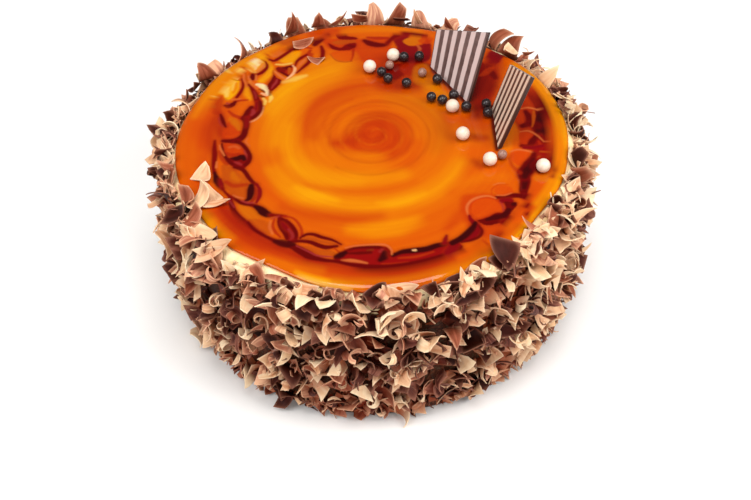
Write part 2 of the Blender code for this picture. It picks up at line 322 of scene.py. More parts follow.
# %% Cream finish
def make_cream_finish():
    """Soft whipped cream, faintly yellow in its hollows; crumbs of chocolate and painted shade darken its
    wall.
    """
    finish, tree, shader = new_finish("whipped_cream", 0.6, IOR=1.42, Specular_IOR_Level=0.12)
    place = object_place(tree)
    uneven = use_group(tree, UNEVEN, {"Place": place, "Size": 130.0})
    crumbs = use_group(tree, UNEVEN, {"Place": place, "Size": 620.0})
    part = add_node(tree, "ShaderNodeSeparateXYZ", {0: place}).outputs
    behind = number(tree, "MAXIMUM", part[1], 0.0)
    height = number(tree, "MULTIPLY_ADD", behind, -CRUMB_SHADE_CLIMB, part[2])
    # crumbs and painted shade cover the wall below a wandering edge that climbs towards the back
    below = number(tree, "SUBTRACT", CRUMB_SHADE_BELOW, waver(tree, uneven["Mask"], CRUMB_SHADE_WANDER, height))
    low = number(tree, "MULTIPLY", below, CRUMB_SHADE_EDGE, clamp=True)
    past = number(tree, "SUBTRACT", crumbs["Mask"], SPECKLE_START)
    speckle = number(tree, "MULTIPLY", past, SPECKLE_EDGE, clamp=True)
    cover = number(tree, "MULTIPLY_ADD", speckle, SPECKLE_GAP, 1 - SPECKLE_GAP)
    share = number(tree, "MULTIPLY", low, cover)
    colour = ramp(tree, uneven["Mask"], CREAM_COLOURS)
    colour = blend_colours(tree, share, colour, ramp(tree, crumbs["Mask"], CRUMB_AND_SHADE_COLOURS))
    tree.links.new(colour, shader.inputs["Base Color"])
    add_bump(tree, shader, uneven["Height"], distance=0.0006, strength=0.7)
    return finish


# %% Cream coat mesh
def ring_faces(rows, turns):
    """Quads between rings of equal count, from the top ring down."""
    row, turn = np.meshgrid(np.arange(rows - 1), np.arange(turns), indexing="ij")
    here = row * turns + turn
    beside = row * turns + (turn + 1) % turns
    return np.stack([here + turns, beside + turns, beside, here], -1).reshape(-1, 4)


def make_cream_coat(finish):
    """Turned body of cream with knife marks, closed at the top and the foot."""
    turn = np.linspace(0, 0.5 * math.pi, SHOULDER_ROWS)
    shoulder = [(CREAM_RADIUS - SHOULDER_RADIUS * (1 - math.sin(t)),
                 BODY_HEIGHT - SHOULDER_RADIUS * (1 - math.cos(t))) for t in turn]
    wall = [(CREAM_RADIUS, z) for z in np.linspace(BODY_HEIGHT - SHOULDER_RADIUS, 0, CREAM_ROWS)][1:]
    profile = [(CAP_RADIUS, BODY_HEIGHT), (FLAT_RADIUS, BODY_HEIGHT)] + shoulder + wall + [(CAP_RADIUS, 0)]
    angle = np.arange(CREAM_TURNS) * 2 * math.pi / CREAM_TURNS
    rows = []
    for radius, z in profile:
        swell = sum(strength * np.sin(count * angle + climb * z + start)
                    for strength, count, climb, start in KNIFE_WAVES)
        depth = KNIFE_MARK if radius > MARKED_RADIUS else 0
        bumped = radius + depth * swell / sum(strength for strength, *_ in KNIFE_WAVES)
        rows.append(np.stack([bumped * np.cos(angle), bumped * np.sin(angle), 0 * angle + z], -1))
    top = np.arange(CREAM_TURNS).reshape(1, -1)
    foot = top[:, ::-1] + (len(profile) - 1) * CREAM_TURNS
    faces = [ring_faces(len(profile), CREAM_TURNS), top, foot]
    return mesh_piece("cream_coat", np.concatenate(rows), faces, finish)


cream_coat = make_cream_coat(make_cream_finish())
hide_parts("cake")
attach(cream_coat, "root")
print("cream coat triangles", triangles(cream_coat))

# %% [markdown]
# ## The mirror glaze: its form
#
# Warm glaze is poured on the middle, runs outwards and stops in an uneven edge that sags
# over the shoulder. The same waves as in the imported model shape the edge. The marbling is
# painted on the mesh's points, so rings lie densest where the dark curls are, and towards
# the middle each step inwards halves the number of points round.

# %% Glaze form
GLAZE_RADIUS = 0.1000
GLAZE_TOP = 0.0950
GLAZE_WAVES = ((2, 0.0012, -35), (3, 0.0015, 27), (4, 0.0010, 13), (9, 0.0006, -17), (13, 0.0004, 3))
WAVES_START = 0.0700
GLAZE_TURNS = 912
UNDER_GAP = 0.0003

# rings of the flat top: one point for so many of the turns, first and last radius, spacing
FLAT_STRETCHES = ((8, 0.0008, 0.014, 0.0014), (4, 0.0145, 0.034, 0.0014), (2, 0.0345, 0.0545, 0.0011),
                  (1, 0.0555, 0.0879, 0.00046))
# share of the glaze's thickness at each mean radius, from the flat top over the edge
GLAZE_SECTION = ((0.0880, 1.0), (0.0920, 0.993), (0.0950, 0.97), (0.0968, 0.92), (0.0980, 0.85),
                 (0.0989, 0.75), (0.0995, 0.64), (0.0999, 0.52), (0.1000, 0.42), (0.0999, 0.30),
                 (0.0995, 0.20), (0.0986, 0.12))
UNDERSIDE = (0.0980, 0.0930)


def glaze_wave(angle):
    """How far the glaze's edge runs out beyond its mean radius in this direction."""
    return sum(depth * np.cos(count * (angle - math.radians(peak)))
               for count, depth, peak in GLAZE_WAVES)


def glaze_ring(radius, share, turns):
    """One ring of points on the glaze, moved out by the waves."""
    angle = np.arange(turns) * 2 * math.pi / turns
    start = np.clip((radius - WAVES_START) / (GLAZE_RADIUS - WAVES_START), 0, None)
    moved = radius + start ** 2 * glaze_wave(angle)
    height = share * (GLAZE_TOP - BODY_HEIGHT) + cream_height(moved)
    return np.stack([moved * np.cos(angle), moved * np.sin(angle), height], -1)


def joined_rings(rings):
    """Faces between rings, inside to outside, where a ring has as many points or half."""
    quads, thirds = [], []
    first = 0
    for ring, following in zip(rings, rings[1:]):
        count, after = len(ring), len(following)
        second = first + count
        step = np.arange(count)
        beyond = (step + 1) % count
        if count == after:
            quads.append(np.stack([first + step, second + step, second + beyond, first + beyond], -1))
        else:
            near, middle, far = 2 * step, 2 * step + 1, (2 * step + 2) % after
            thirds.append(np.stack([first + step, second + near, second + middle], -1))
            thirds.append(np.stack([first + step, second + middle, first + beyond], -1))
            thirds.append(np.stack([first + beyond, second + middle, second + far], -1))
        first = second
    return [np.concatenate(quads), np.concatenate(thirds)]


def glaze_rings():
    """Rings from the middle of the glaze out over its edge and under it."""
    rings = [glaze_ring(radius, 1.0, GLAZE_TURNS // fewer)
             for fewer, start, end, spacing in FLAT_STRETCHES for radius in np.arange(start, end, spacing)]
    rings += [glaze_ring(radius, share, GLAZE_TURNS) for radius, share in GLAZE_SECTION]
    under = UNDER_GAP / (GLAZE_TOP - BODY_HEIGHT)
    return rings + [glaze_ring(radius, under, GLAZE_TURNS) for radius in UNDERSIDE]


rings = glaze_rings()
glaze_points = np.concatenate(rings)
glaze_faces = joined_rings(rings)
centre = np.arange(len(rings[0])).reshape(1, -1)
print("glaze points", len(glaze_points), "rings", len(rings))

# %% [markdown]
# ## The marbling: how it is painted
#
# A darker, redder glaze was dripped near the rim and drawn round with a skewer, which left
# curls, lens-shaped bubbles and one long outer line. Two brushes paint them, one over the
# other like paint. A stroke follows a smooth curve through a few points, as wide as its row
# of widths says. A fill has no widths and covers a smooth closed outline. All places are in
# millimetres from the cake's middle, seen from above, with the front at -Y. A few rows paint
# light and shade too: a highlight and a glint on the glaze, the plates' shadow and reflection,
# and brighter orange where a plate's shadow falls.

# %% Brushes
SAMPLE_STEP = 0.35
LINE_PIECE = 24
SPIRAL_STEPS = 12
RIM_STEP = 8


def smooth_curve(points, closed=False):
    """Catmull-Rom curve through the points, sampled every third of a millimetre."""
    points = np.array(points, float).reshape(-1, 2)
    if closed:
        padded = np.vstack([points[-1], points, points[:2]])
    else:
        padded = np.vstack([2 * points[0] - points[1], points, 2 * points[-1] - points[-2]])
    samples = []
    for a, b, c, d in zip(padded, padded[1:], padded[2:], padded[3:]):
        count = max(2, int(np.linalg.norm(c - b) / SAMPLE_STEP))
        t = np.arange(count)[:, None] / count
        samples.append(0.5 * (2 * b + (c - a) * t + (2 * a - 5 * b + 4 * c - d) * t ** 2
                              + (3 * b - a - 3 * c + d) * t ** 3))
    if not closed:
        samples.append(points[-1:])
    return np.vstack(samples)


def stroke(spots, widths, points, softness):
    """Cover of each spot by a line that is as wide as its row of widths says."""
    line = smooth_curve(points)
    share = np.linspace(0, 1, len(line))
    half = np.interp(share, np.linspace(0, 1, len(widths)), widths) / 2
    away = np.full(len(spots), FAR)
    reach = half.max() + softness
    for start in range(0, len(line), LINE_PIECE):
        piece = line[start:start + LINE_PIECE + 1]
        close = np.all((spots > piece.min(0) - reach) & (spots < piece.max(0) + reach), axis=1)
        gaps = np.linalg.norm(spots[close][:, None] - piece[None], axis=2)
        gaps -= half[start:start + LINE_PIECE + 1]
        away[close] = np.minimum(away[close], gaps.min(1))
    return 1 - smooth_step(-0.5 * softness, 0.5 * softness, away)


def fill(spots, points, softness):
    """Cover of each spot by a filled, smooth closed outline with a soft edge."""
    outline = smooth_curve(points, closed=True)[::2]
    cover = np.zeros(len(spots))
    close = np.all((spots > outline.min(0) - softness) & (spots < outline.max(0) + softness), axis=1)
    x, y = spots[close].T
    inside = np.zeros(len(x), bool)
    for (x0, y0), (x1, y1) in zip(outline, np.roll(outline, -1, 0)):
        crosses = (y0 > y) != (y1 > y)
        inside ^= crosses & (x < (x1 - x0) * (y - y0) / (y1 - y0 + TINY) + x0)
    gap = np.full(len(x), FAR)
    for point in outline:
        gap = np.minimum(gap, np.hypot(x - point[0], y - point[1]))
    cover[close] = smooth_step(-0.5 * softness, 0.5 * softness, np.where(inside, gap, -gap))
    return cover


def spiral_line(middle, start, end, first, turns):
    """Points of a spiral that runs outwards clockwise from one radius to another."""
    share = np.linspace(0, 1, 2 + int(SPIRAL_STEPS * turns))
    angle = math.radians(first) - 2 * math.pi * turns * share
    radius = start + (end - start) * share
    return np.stack([middle[0] + radius * np.cos(angle), middle[1] + radius * np.sin(angle)], -1)


def along_rim(start, end, inset):
    """Points along the glaze's edge between two directions in degrees, so far in from it."""
    angle = np.radians(np.linspace(start, end, 2 + int(abs(end - start) / RIM_STEP)))
    radius = (GLAZE_RADIUS + glaze_wave(angle)) / MM - inset
    return np.stack([radius * np.cos(angle), radius * np.sin(angle)], -1)


# %% Tints of the marbling
# how each tint looks in daylight: red, green and blue up to 255, as on a screen
TINTS = {
    "black": (62, 2, 4), "ink": (108, 3, 2), "oxblood": (130, 6, 2), "wine": (136, 4, 14),
    "crimson": (152, 8, 8), "brick": (178, 36, 5), "ember": (208, 58, 3), "flame": (222, 74, 3),
    "brown": (120, 48, 4), "rust": (196, 78, 8), "toffee": (216, 106, 4), "caramel": (228, 94, 2),
    "orange": (238, 118, 2), "amber": (246, 146, 2), "gold": (253, 170, 6), "honey": (253, 202, 92),
    "cream": (255, 226, 168), "peach": (255, 184, 128), "salmon": (228, 112, 52), "rose": (166, 44, 44)}
DAYLIGHT = 1.53


def albedo(tint):
    """The tint as a shader needs it: by the screen's own curve to linear, and less what the light adds."""
    seen = np.array(TINTS[tint]) / 255
    linear = np.where(seen < 0.04045, seen / 12.92, ((seen + 0.055) / 1.055) ** 2.4)
    return linear / DAYLIGHT


print("tints", len(TINTS))

# %% The poured spiral and the rim
# each row: tint, how opaque, softness of its edge, widths of a stroke or () for a fill, and its points
# as x and y, one after the other
SPIRAL = [
    ("orange", 0.65, 20, (), (-58, 10, -46, 44, -14, 60, 10, 42, 40, 30, 52, -4, 44, -42, 10, -62, -34, -54,
     -54, -26)),
    ("amber", 0.85, 16, (12, 18, 18, 14), (-48, 2, -46, 24, -38, 44, -20, 56)),
    ("gold", 0.55, 10, (5, 8, 6), (-53, 26, -47, 38, -38, 50)),
    ("amber", 0.5, 12, (8, 12, 8), (-14, 62, -4, 66, -30, 64)),
    ("flame", 0.6, 9, (4, 6, 6, 4), (-60, -12, -57, -24, -51, -36, -45, -43)),
    ("ember", 0.6, 14, (8, 12, 13, 9), (-30, 4, -29, 20, -20, 34, -2, 42, 14, 40)),
    ("ember", 0.45, 4, (2, 4, 5, 4, 2), (-33, 4, -33, 18, -26, 32, -12, 41, 4, 44)),
    ("caramel", 0.6, 10, (8, 12, 10, 6), (-16, 2, -17, 16, -9, 26, 4, 30)),
    ("ember", 0.4, 3, (1.5, 3, 3, 1.5), (-23, 3, -24, 14, -19, 25, -9, 32)),
    ("flame", 0.6, 12, (6, 10, 10, 6), (-4, 22, 8, 22, 17, 14, 19, 2, 17, -12)),
    ("ember", 0.95, 11, (), (-21, -2, -13, -9, 0, -10, 11, -15, 17, -6, 16, 9, 7, 18, -4, 16, -9, 7)),
    ("brick", 0.30, 5, (2, 4, 5, 5, 4, 3, 2), (-18, -2, -8, -1, -8, 8, -2, 15, 8, 15, 14, 8, 15, -4)),
    ("flame", 0.5, 4, (1, 3, 4, 3), (-15, -6, -6, -6.5, 2, -6, 7, -9)),
    ("flame", 0.55, 4, (2, 3, 3, 2), (9, 12, 11.5, 5, 11, -2, 7, -7)),
    ("flame", 0.5, 3, (1, 2.4, 2, 1), (-3, 6, 1, 8, 3, 4, 0, 0)),
    ("brick", 0.4, 2.6, (1, 2, 2, 1), (5, 8, 6.6, 4, 5, -1, 1, -4)),
    ("toffee", 0.55, 12, (6, 10, 10, 8), (12, 30, 24, 26, 33, 14, 35, 0, 33, -10)),
    ("orange", 0.5, 8, (5, 8, 6), (14, 24, 25, 14, 25, 0)),
    ("flame", 0.55, 10, (7, 11, 9), (23, -6, 18, -17, 8, -21)),
    ("orange", 0.7, 9, (6, 12, 12, 7), (-30, -4, -22, -13, -8, -18, 4, -19)),
    ("amber", 0.8, 9, (6, 10, 11, 10, 7), (-43, 12, -42, -4, -35, -18, -21, -27, -2, -30, 14, -28)),
    ("gold", 0.3, 10, (6, 12, 10, 5), (-42, -16, -34, -26, -22, -31, -8, -33)),
    ("caramel", 0.45, 6, (2, 4, 5, 4), (-34, -33, -24, -36, -10, -38, 4, -39, 20, -34)),
    ("caramel", 0.4, 4, (1.5, 2.5, 2.5, 1.5), (-49, -4, -46, -18, -38, -30, -24, -37)),
    ("amber", 0.85, 10, (5, 9, 11, 11, 10, 9, 6), (-50, -20, -41, -34, -30, -42, -13, -47, 6, -48, 24, -43,
     36, -34, 44, -22)),
    ("gold", 0.75, 7, (3, 7, 7, 3), (-38, -34, -32, -38.5, -26, -41, -19, -44)),
    ("gold", 0.6, 6, (1, 5, 5, 2), (2, -46.5, 8, -47.5, 16, -45.5, 24, -42)),
    ("ember", 0.6, 9, (5, 9, 8, 5), (-44, -47, -30, -53, -12, -56, 2, -56)),
    ("flame", 0.45, 10, (5, 8, 9), (38, -42, 47, -32, 52, -14)),
    ("amber", 0.9, 9, (4, 9, 10, 5), (-12, -64, -1, -65, 10, -63.5, 20, -60)),
    ("caramel", 0.5, 9, (6, 8, 6), (24, -60, 36, -52, 46, -42)),
    ("orange", 0.5, 7, (4, 7, 6), (40, -38, 50, -34, 64, -33)),
    ("ember", 0.6, 6, (4, 6, 4), (34, -66, 40, -58, 44, -52)),
    ("rust", 0.5, 8, (5, 8, 6), (39, 16, 39, 4, 42, -4)),
    ("brick", 0.32, 2.4, (0.8, 1.6, 1.8, 1.6, 0.8), spiral_line((2, 3), 3, 31, -60, 3.2)),
    ("orange", 0.35, 2.4, (0.8, 1.6, 1.8, 1.6, 0.8), spiral_line((2, 3), 3, 29, 120, 3.1)),
    ("flame", 0.7, 8, (8, 12, 10), (44, 12, 54, 8, 62, 8)),
    ("brick", 0.6, 5, (2, 6, 3), (50, -1, 54, -4, 60, -4)),
    ("brick", 0.5, 5, (3, 5), (51, -21, 54, -25)),
    ("orange", 0.7, 5, (4, 6), (63, -4, 68, -12)),
    ("brick", 0.8, 10, (), (4, 44, 12, 37, 26, 36, 34, 44, 36, 60, 20, 68, 4, 66)),
    ("ember", 0.6, 8, (8, 12, 11), (-9, 72, 1, 62, 9, 50)),
    ("amber", 0.85, 7, (3, 9, 10, 9, 4), along_rim(118, 165, 6)),
    ("flame", 0.6, 6, (5, 10, 12, 8), (-84, 34, -87, 22, -88, 10, -86, 2)),
    ("ember", 0.5, 9, (5, 9, 11, 8, 5), (-80, 28, -83, 18, -84, 8, -84, -4, -86, -12)),
    ("brick", 0.5, 7, (3, 6, 6, 3), (-82, 22, -84, 13, -83, 5, -82, -3)),
    ("flame", 0.8, 6, (6, 9, 9, 7), along_rim(196, 262, 9)),
    ("amber", 0.9, 6, (3, 8, 7, 3), (-83, -48, -79, -55, -74, -60, -68, -65)),
    ("ember", 0.8, 7, (5, 9, 9, 6, 5), (-79, -42, -70, -56, -58, -68, -44, -77, -30, -84)),
    ("flame", 0.6, 5, (4, 6, 6, 5), along_rim(236, 296, 6.5)),
    ("orange", 0.7, 5, (4, 6, 6, 4), (-52, -80, -44, -84, -36, -87, -26, -89)),
    ("gold", 0.85, 3, (1.5, 4, 4.4, 1.5), along_rim(247, 266, 2.2)),
    ("honey", 0.6, 1.6, (1, 2, 2, 1), along_rim(248, 263, 1)),
    ("toffee", 0.8, 5, (3, 6, 6, 4), along_rim(258, 300, 4)),
    ("amber", 0.6, 3, (2, 3, 3, 2), along_rim(285, 325, 2)),
    ("flame", 0.7, 6, (5, 9, 9, 6), (66, -62, 75, -52, 80, -42, 83, -36)),
    ("amber", 0.85, 4, (3, 5, 6, 6, 6, 4), along_rim(-34, 34, 3.8)),
    ("gold", 0.7, 2.5, (1.4, 2.4, 2.6, 2), along_rim(-48, 30, 1.4)),
    ("orange", 0.7, 5, (5, 7, 5), (92, -30, 94, -14, 93, 0)),
    ("ember", 0.8, 5, (6, 8, 4), (-30, 91, -22, 92, -13, 93)),
    ("orange", 0.8, 5, (5, 8, 7, 5), (-12, 92, 2, 93, 16, 92, 30, 89)),
    ("rust", 0.8, 5, (4, 6, 4), (-48, 84, -42, 86, -37, 84)),
]
print("spiral rows", len(SPIRAL))

# %% Curls, back left
BACK_LEFT = [
    ("gold", 0.7, 3, (), (-50, 70, -44, 75, -37, 75, -40, 66, -46, 65.5)),
    ("gold", 0.7, 3, (3, 5, 5, 4), (-60, 74, -56, 66, -54, 58, -58, 51)),
    ("gold", 0.6, 3, (2, 4, 4, 2), (-65, 50, -65.6, 42, -63.6, 36)),
    # painted highlight on the glaze's rounded edge
    ("honey", 0.7, 1.6, (1.6, 2.4, 1.4), (-78.8, 64.4, -77.6, 62, -76.2, 60.2)),
    ("gold", 1, 1.8, (), (-72.5, 53, -70, 51.5, -69.8, 47, -70.8, 42.5, -73, 38.5, -76, 36, -78, 39.5,
     -78.8, 44, -78.2, 49.5, -75.5, 52.6)),
    ("honey", 0.95, 2, (2, 3.4, 3.2, 1.6), (-76.6, 50.5, -76.9, 47, -76.8, 43, -76.4, 39.6)),
    ("honey", 0.6, 1.6, (1.4, 1.8, 1.2), (-72.4, 51, -73.4, 48, -73.6, 44.5)),
    ("orange", 0.7, 1.6, (1.6, 2, 1.4), (-71.6, 50, -71.8, 46, -73, 42)),
    ("rust", 0.5, 1.5, (1.2, 1.6), (-77.4, 37.5, -76, 36.4)),
    ("honey", 0.85, 1.6, (1.6, 2.6, 2.4, 2), (-69.8, 62.5, -70.4, 60, -71.2, 56.5, -71.8, 54)),
    ("brown", 0.6, 0.8, (0.6, 0.7), (-72.6, 52.5, -69.8, 52.4)),
    ("rust", 0.85, 1.2, (1.4, 1.8), (-69.3, 64.8, -68, 62.8)),
    ("rust", 0.85, 1, (0.8, 1.2, 1.2), (-68.4, 59, -69.3, 56, -68.9, 52.5)),
    ("oxblood", 1, 1, (0.8, 1.3, 1.7, 2, 1.8), (-68.9, 53.5, -68.2, 50, -68, 46.5, -69, 42.5, -70.9, 38.2)),
    ("salmon", 0.6, 0.8, (0.8, 1), (-69.8, 50.5, -69.6, 46.5)),
    ("salmon", 0.7, 1, (1.2, 1.6, 1.6, 1.2), (-67.8, 57, -67.6, 53, -66.4, 50, -65.8, 46.5)),
    ("rust", 0.9, 1, (0.9, 1.4, 1.4, 1.6), (-67, 58.5, -66.6, 55, -66.4, 52.5, -64.6, 47.5)),
    ("brick", 0.6, 1.6, (1.2, 2.6), (-63.4, 46.5, -59.6, 40.6)),
    ("oxblood", 1, 1.3, (1.2, 2.2, 3, 3.4, 3.6, 3.4), (-64.9, 48.4, -62.8, 44, -61.2, 40, -60.2, 36,
     -59.2, 32, -58.8, 28)),
    ("ink", 0.7, 1.2, (0.8, 1.6, 1.8), (-60, 37, -58.6, 32, -58, 28)),
    ("rose", 0.6, 1, (0.8, 1.2, 1), (-62, 42.6, -60.9, 39.4, -60.5, 36.5)),
    ("wine", 0.9, 0.9, (0.8, 1), (-59.9, 33, -59.9, 28)),
    ("honey", 1, 1.8, (), (-61.6, 71.2, -59.4, 69.2, -57.2, 66.4, -57, 63.5, -59, 60.5, -61.8, 58,
     -64.4, 59.6, -65.8, 63, -65.4, 67, -63.6, 70)),
    ("cream", 1, 2, (1.6, 4.2, 3.2), (-61.6, 70, -61.6, 67.6, -61, 66)),
    ("orange", 0.75, 1.8, (1.4, 2.4, 1.8), (-64.6, 65, -64, 62, -62.8, 59.6)),
    ("orange", 0.85, 1.4, (2.2, 2.6, 2), (-58, 65.8, -59, 63.2, -61, 60)),
    ("peach", 0.9, 1, (1.6, 1.4, 0.8), (-61.9, 65.5, -61.8, 63.4, -61.6, 61.6)),
    ("salmon", 0.9, 0.9, (0.9, 1.1, 0.9), (-56.9, 65, -58, 62.2, -60.8, 58.8)),
    ("rust", 0.6, 1.2, (1, 1.2), (-57.4, 69.6, -56, 67)),
    ("oxblood", 1, 1, (0.8, 1.6, 2.3, 2.4, 1.8), (-56.4, 67.6, -55.4, 64.5, -55.9, 61.4, -58.2, 58.2,
     -61, 56.4)),
    ("rust", 0.6, 1.4, (1.2, 1.6), (-64.8, 57.8, -62, 57.6)),
    ("ink", 1, 1.2, (2, 3, 2.2), (-63.2, 56.8, -63.1, 54.8, -62.9, 53)),
    ("salmon", 0.8, 0.9, (0.9, 1.2, 0.9), (-65.4, 55.8, -65, 53.6, -63.8, 51.4)),
    ("salmon", 0.8, 0.9, (0.9, 1.1), (-61.2, 56.2, -61.2, 52)),
    ("salmon", 0.5, 1.4, (2, 2.4, 1.6), (-64.4, 50.8, -62.2, 48, -60.4, 44.6)),
    ("brick", 0.65, 2.6, (2.5, 4.5, 5, 5), (-80.4, 40, -80.3, 36, -80.6, 32, -81, 27)),
    ("rust", 0.7, 1.4, (1, 1.6, 2), (-85, 38.6, -83.6, 35, -82.6, 31)),
    ("honey", 0.5, 0.9, (0.8, 1, 0.8), (-83.4, 40, -82.6, 37.6, -82.8, 35)),
    ("salmon", 0.6, 1.2, (1.2, 1.6, 1.2), (-73.4, 36.4, -71, 36, -69, 36.6)),
    ("brick", 0.8, 1.2, (1.8, 1.8, 1.4), (-71.8, 34.8, -68.6, 35.3, -65, 35.4)),
    ("ink", 1, 1.2, (1.4, 3.2, 3.2, 1.8), (-77, 31.8, -75, 31, -73.2, 32, -71.6, 34.2)),
    ("rose", 0.8, 1, (1.4, 1.2), (-76, 33.6, -74.8, 33)),
    ("cream", 0.95, 1.4, (1.6, 3.4, 3.6, 2.2, 1.6), (-60.4, 48.2, -58.2, 47, -56.2, 45, -55, 42,
     -54.6, 39)),
    ("brown", 0.9, 1, (0.9, 1.6, 1.3), (-59, 43.8, -57.6, 43, -56.2, 41.4)),
    ("brown", 0.9, 1, (1, 1.8, 1.4), (-59.4, 38.6, -57.8, 38, -56.2, 37.2)),
    ("peach", 0.9, 0.9, (1.2, 1.8, 1.2), (-57.6, 40.4, -56.4, 39.6, -55, 38.4)),
    ("honey", 0.8, 1.2, (1.6, 2, 1.4), (-56.6, 36, -55.6, 33.8, -55.8, 31)),
    ("honey", 0.8, 1.6, (1, 2.4, 1), (-53, 39.4, -52.4, 36, -53.2, 33)),
    ("oxblood", 1, 1, (), (-51.9, 57.6, -50.6, 54.4, -49, 52.4, -47.2, 50.8, -47.4, 48.6, -49.2, 45.4,
     -51.6, 42.2, -53.2, 42.2, -54.6, 45.4, -54.2, 48.4, -52.8, 51, -51.8, 54)),
    ("ink", 0.8, 1.2, (1.4, 1.8, 2, 1.6), (-51.4, 54, -52.4, 50, -53.6, 47, -53, 44.5)),
    ("rose", 0.95, 1, (0.9, 1.6, 1.4, 0.8), (-49.6, 51.6, -50.2, 49, -51.6, 46.4, -52.4, 44.2)),
    ("brown", 0.7, 1.4, (2, 1.8), (-53, 41.4, -53.2, 38.8)),
    ("rust", 0.8, 0.9, (0.8, 1.2), (-52, 59.6, -51.9, 56.6)),
    ("honey", 0.7, 1.4, (1.2, 1.8, 1.4), (-50.4, 64.8, -46.4, 64.2, -42, 65)),
    ("brick", 1, 1, (), (-49.6, 62.4, -46, 61.6, -42, 63, -41.2, 60, -41.8, 56.6, -43.4, 53.6, -46, 56,
     -48.4, 58, -49.8, 60)),
    ("ink", 1, 1.1, (2.4, 3, 3.2, 1.6), (-49.2, 60.8, -46.8, 60.6, -44.6, 61, -42, 62.4)),
    ("oxblood", 0.9, 1.2, (3, 2.6), (-48.4, 59.2, -46.4, 58.4)),
    ("rust", 0.95, 1, (1.6, 2.2, 1.2), (-43, 60.6, -42.8, 58, -43.4, 56)),
    ("ink", 0.9, 0.9, (1.4, 1.8, 1.4), (-47.4, 57.6, -45, 55.4, -43.2, 53.6)),
    ("peach", 1, 0.8, (0.9, 1.6, 1.7, 1.4, 0.9), (-41.2, 63.2, -40, 60.6, -40.4, 57, -42.4, 53.8,
     -44.8, 51.4)),
    ("salmon", 0.95, 0.9, (0.9, 1.6, 1.6, 1), (-51, 58.8, -49.2, 56, -47.2, 53.6, -45, 51.6)),
    ("honey", 0.6, 2.5, (2, 4, 2), (-46, 49, -40, 51.4, -34, 53.6)),
    ("rust", 0.6, 2.2, (), (-48, 86, -41, 86, -38, 81, -43, 80, -47, 82)),
    ("caramel", 0.6, 2.5, (), (-54, 76, -49, 80, -43, 79, -47, 73.5, -52, 70.5)),
    ("brick", 0.7, 1.4, (1.2, 1.2, 0.8), (-54.2, 69, -55.4, 72, -55.6, 76)),
    ("salmon", 0.7, 1, (0.8, 1.2, 1), (-53.4, 71.4, -49.6, 72.4, -46.4, 76)),
    ("brick", 0.8, 1.2, (1.6, 2), (-31, 77.6, -35, 79.2)),
    ("oxblood", 1, 1.1, (1.2, 2, 2.3, 2.4, 2.4, 1.3), (-34.5, 79.4, -38.7, 79.3, -41.9, 77.2, -46.1, 72.9,
     -51.2, 68.3, -54, 69.2)),
    ("brick", 0.9, 1.6, (2, 2.6, 2.4), (-31.6, 75.6, -33.4, 72, -37, 68.6)),
    ("brick", 0.8, 1.6, (3, 3), (-31.2, 72, -31.8, 67)),
    ("salmon", 0.6, 1.4, (2, 2.4, 1.4), (-34, 68.4, -36.4, 65, -38.2, 61.4)),
    ("oxblood", 1, 1, (1.4, 2, 1.7, 0.8), (-33.6, 72, -36.8, 69.4, -39, 66.4, -39.8, 62.6)),
    ("oxblood", 1, 1.2, (2.4, 2.4, 1.8, 1), (-31.6, 66.6, -33.4, 63.6, -36.2, 60, -38.9, 56.4)),
]
print("back left rows", len(BACK_LEFT))

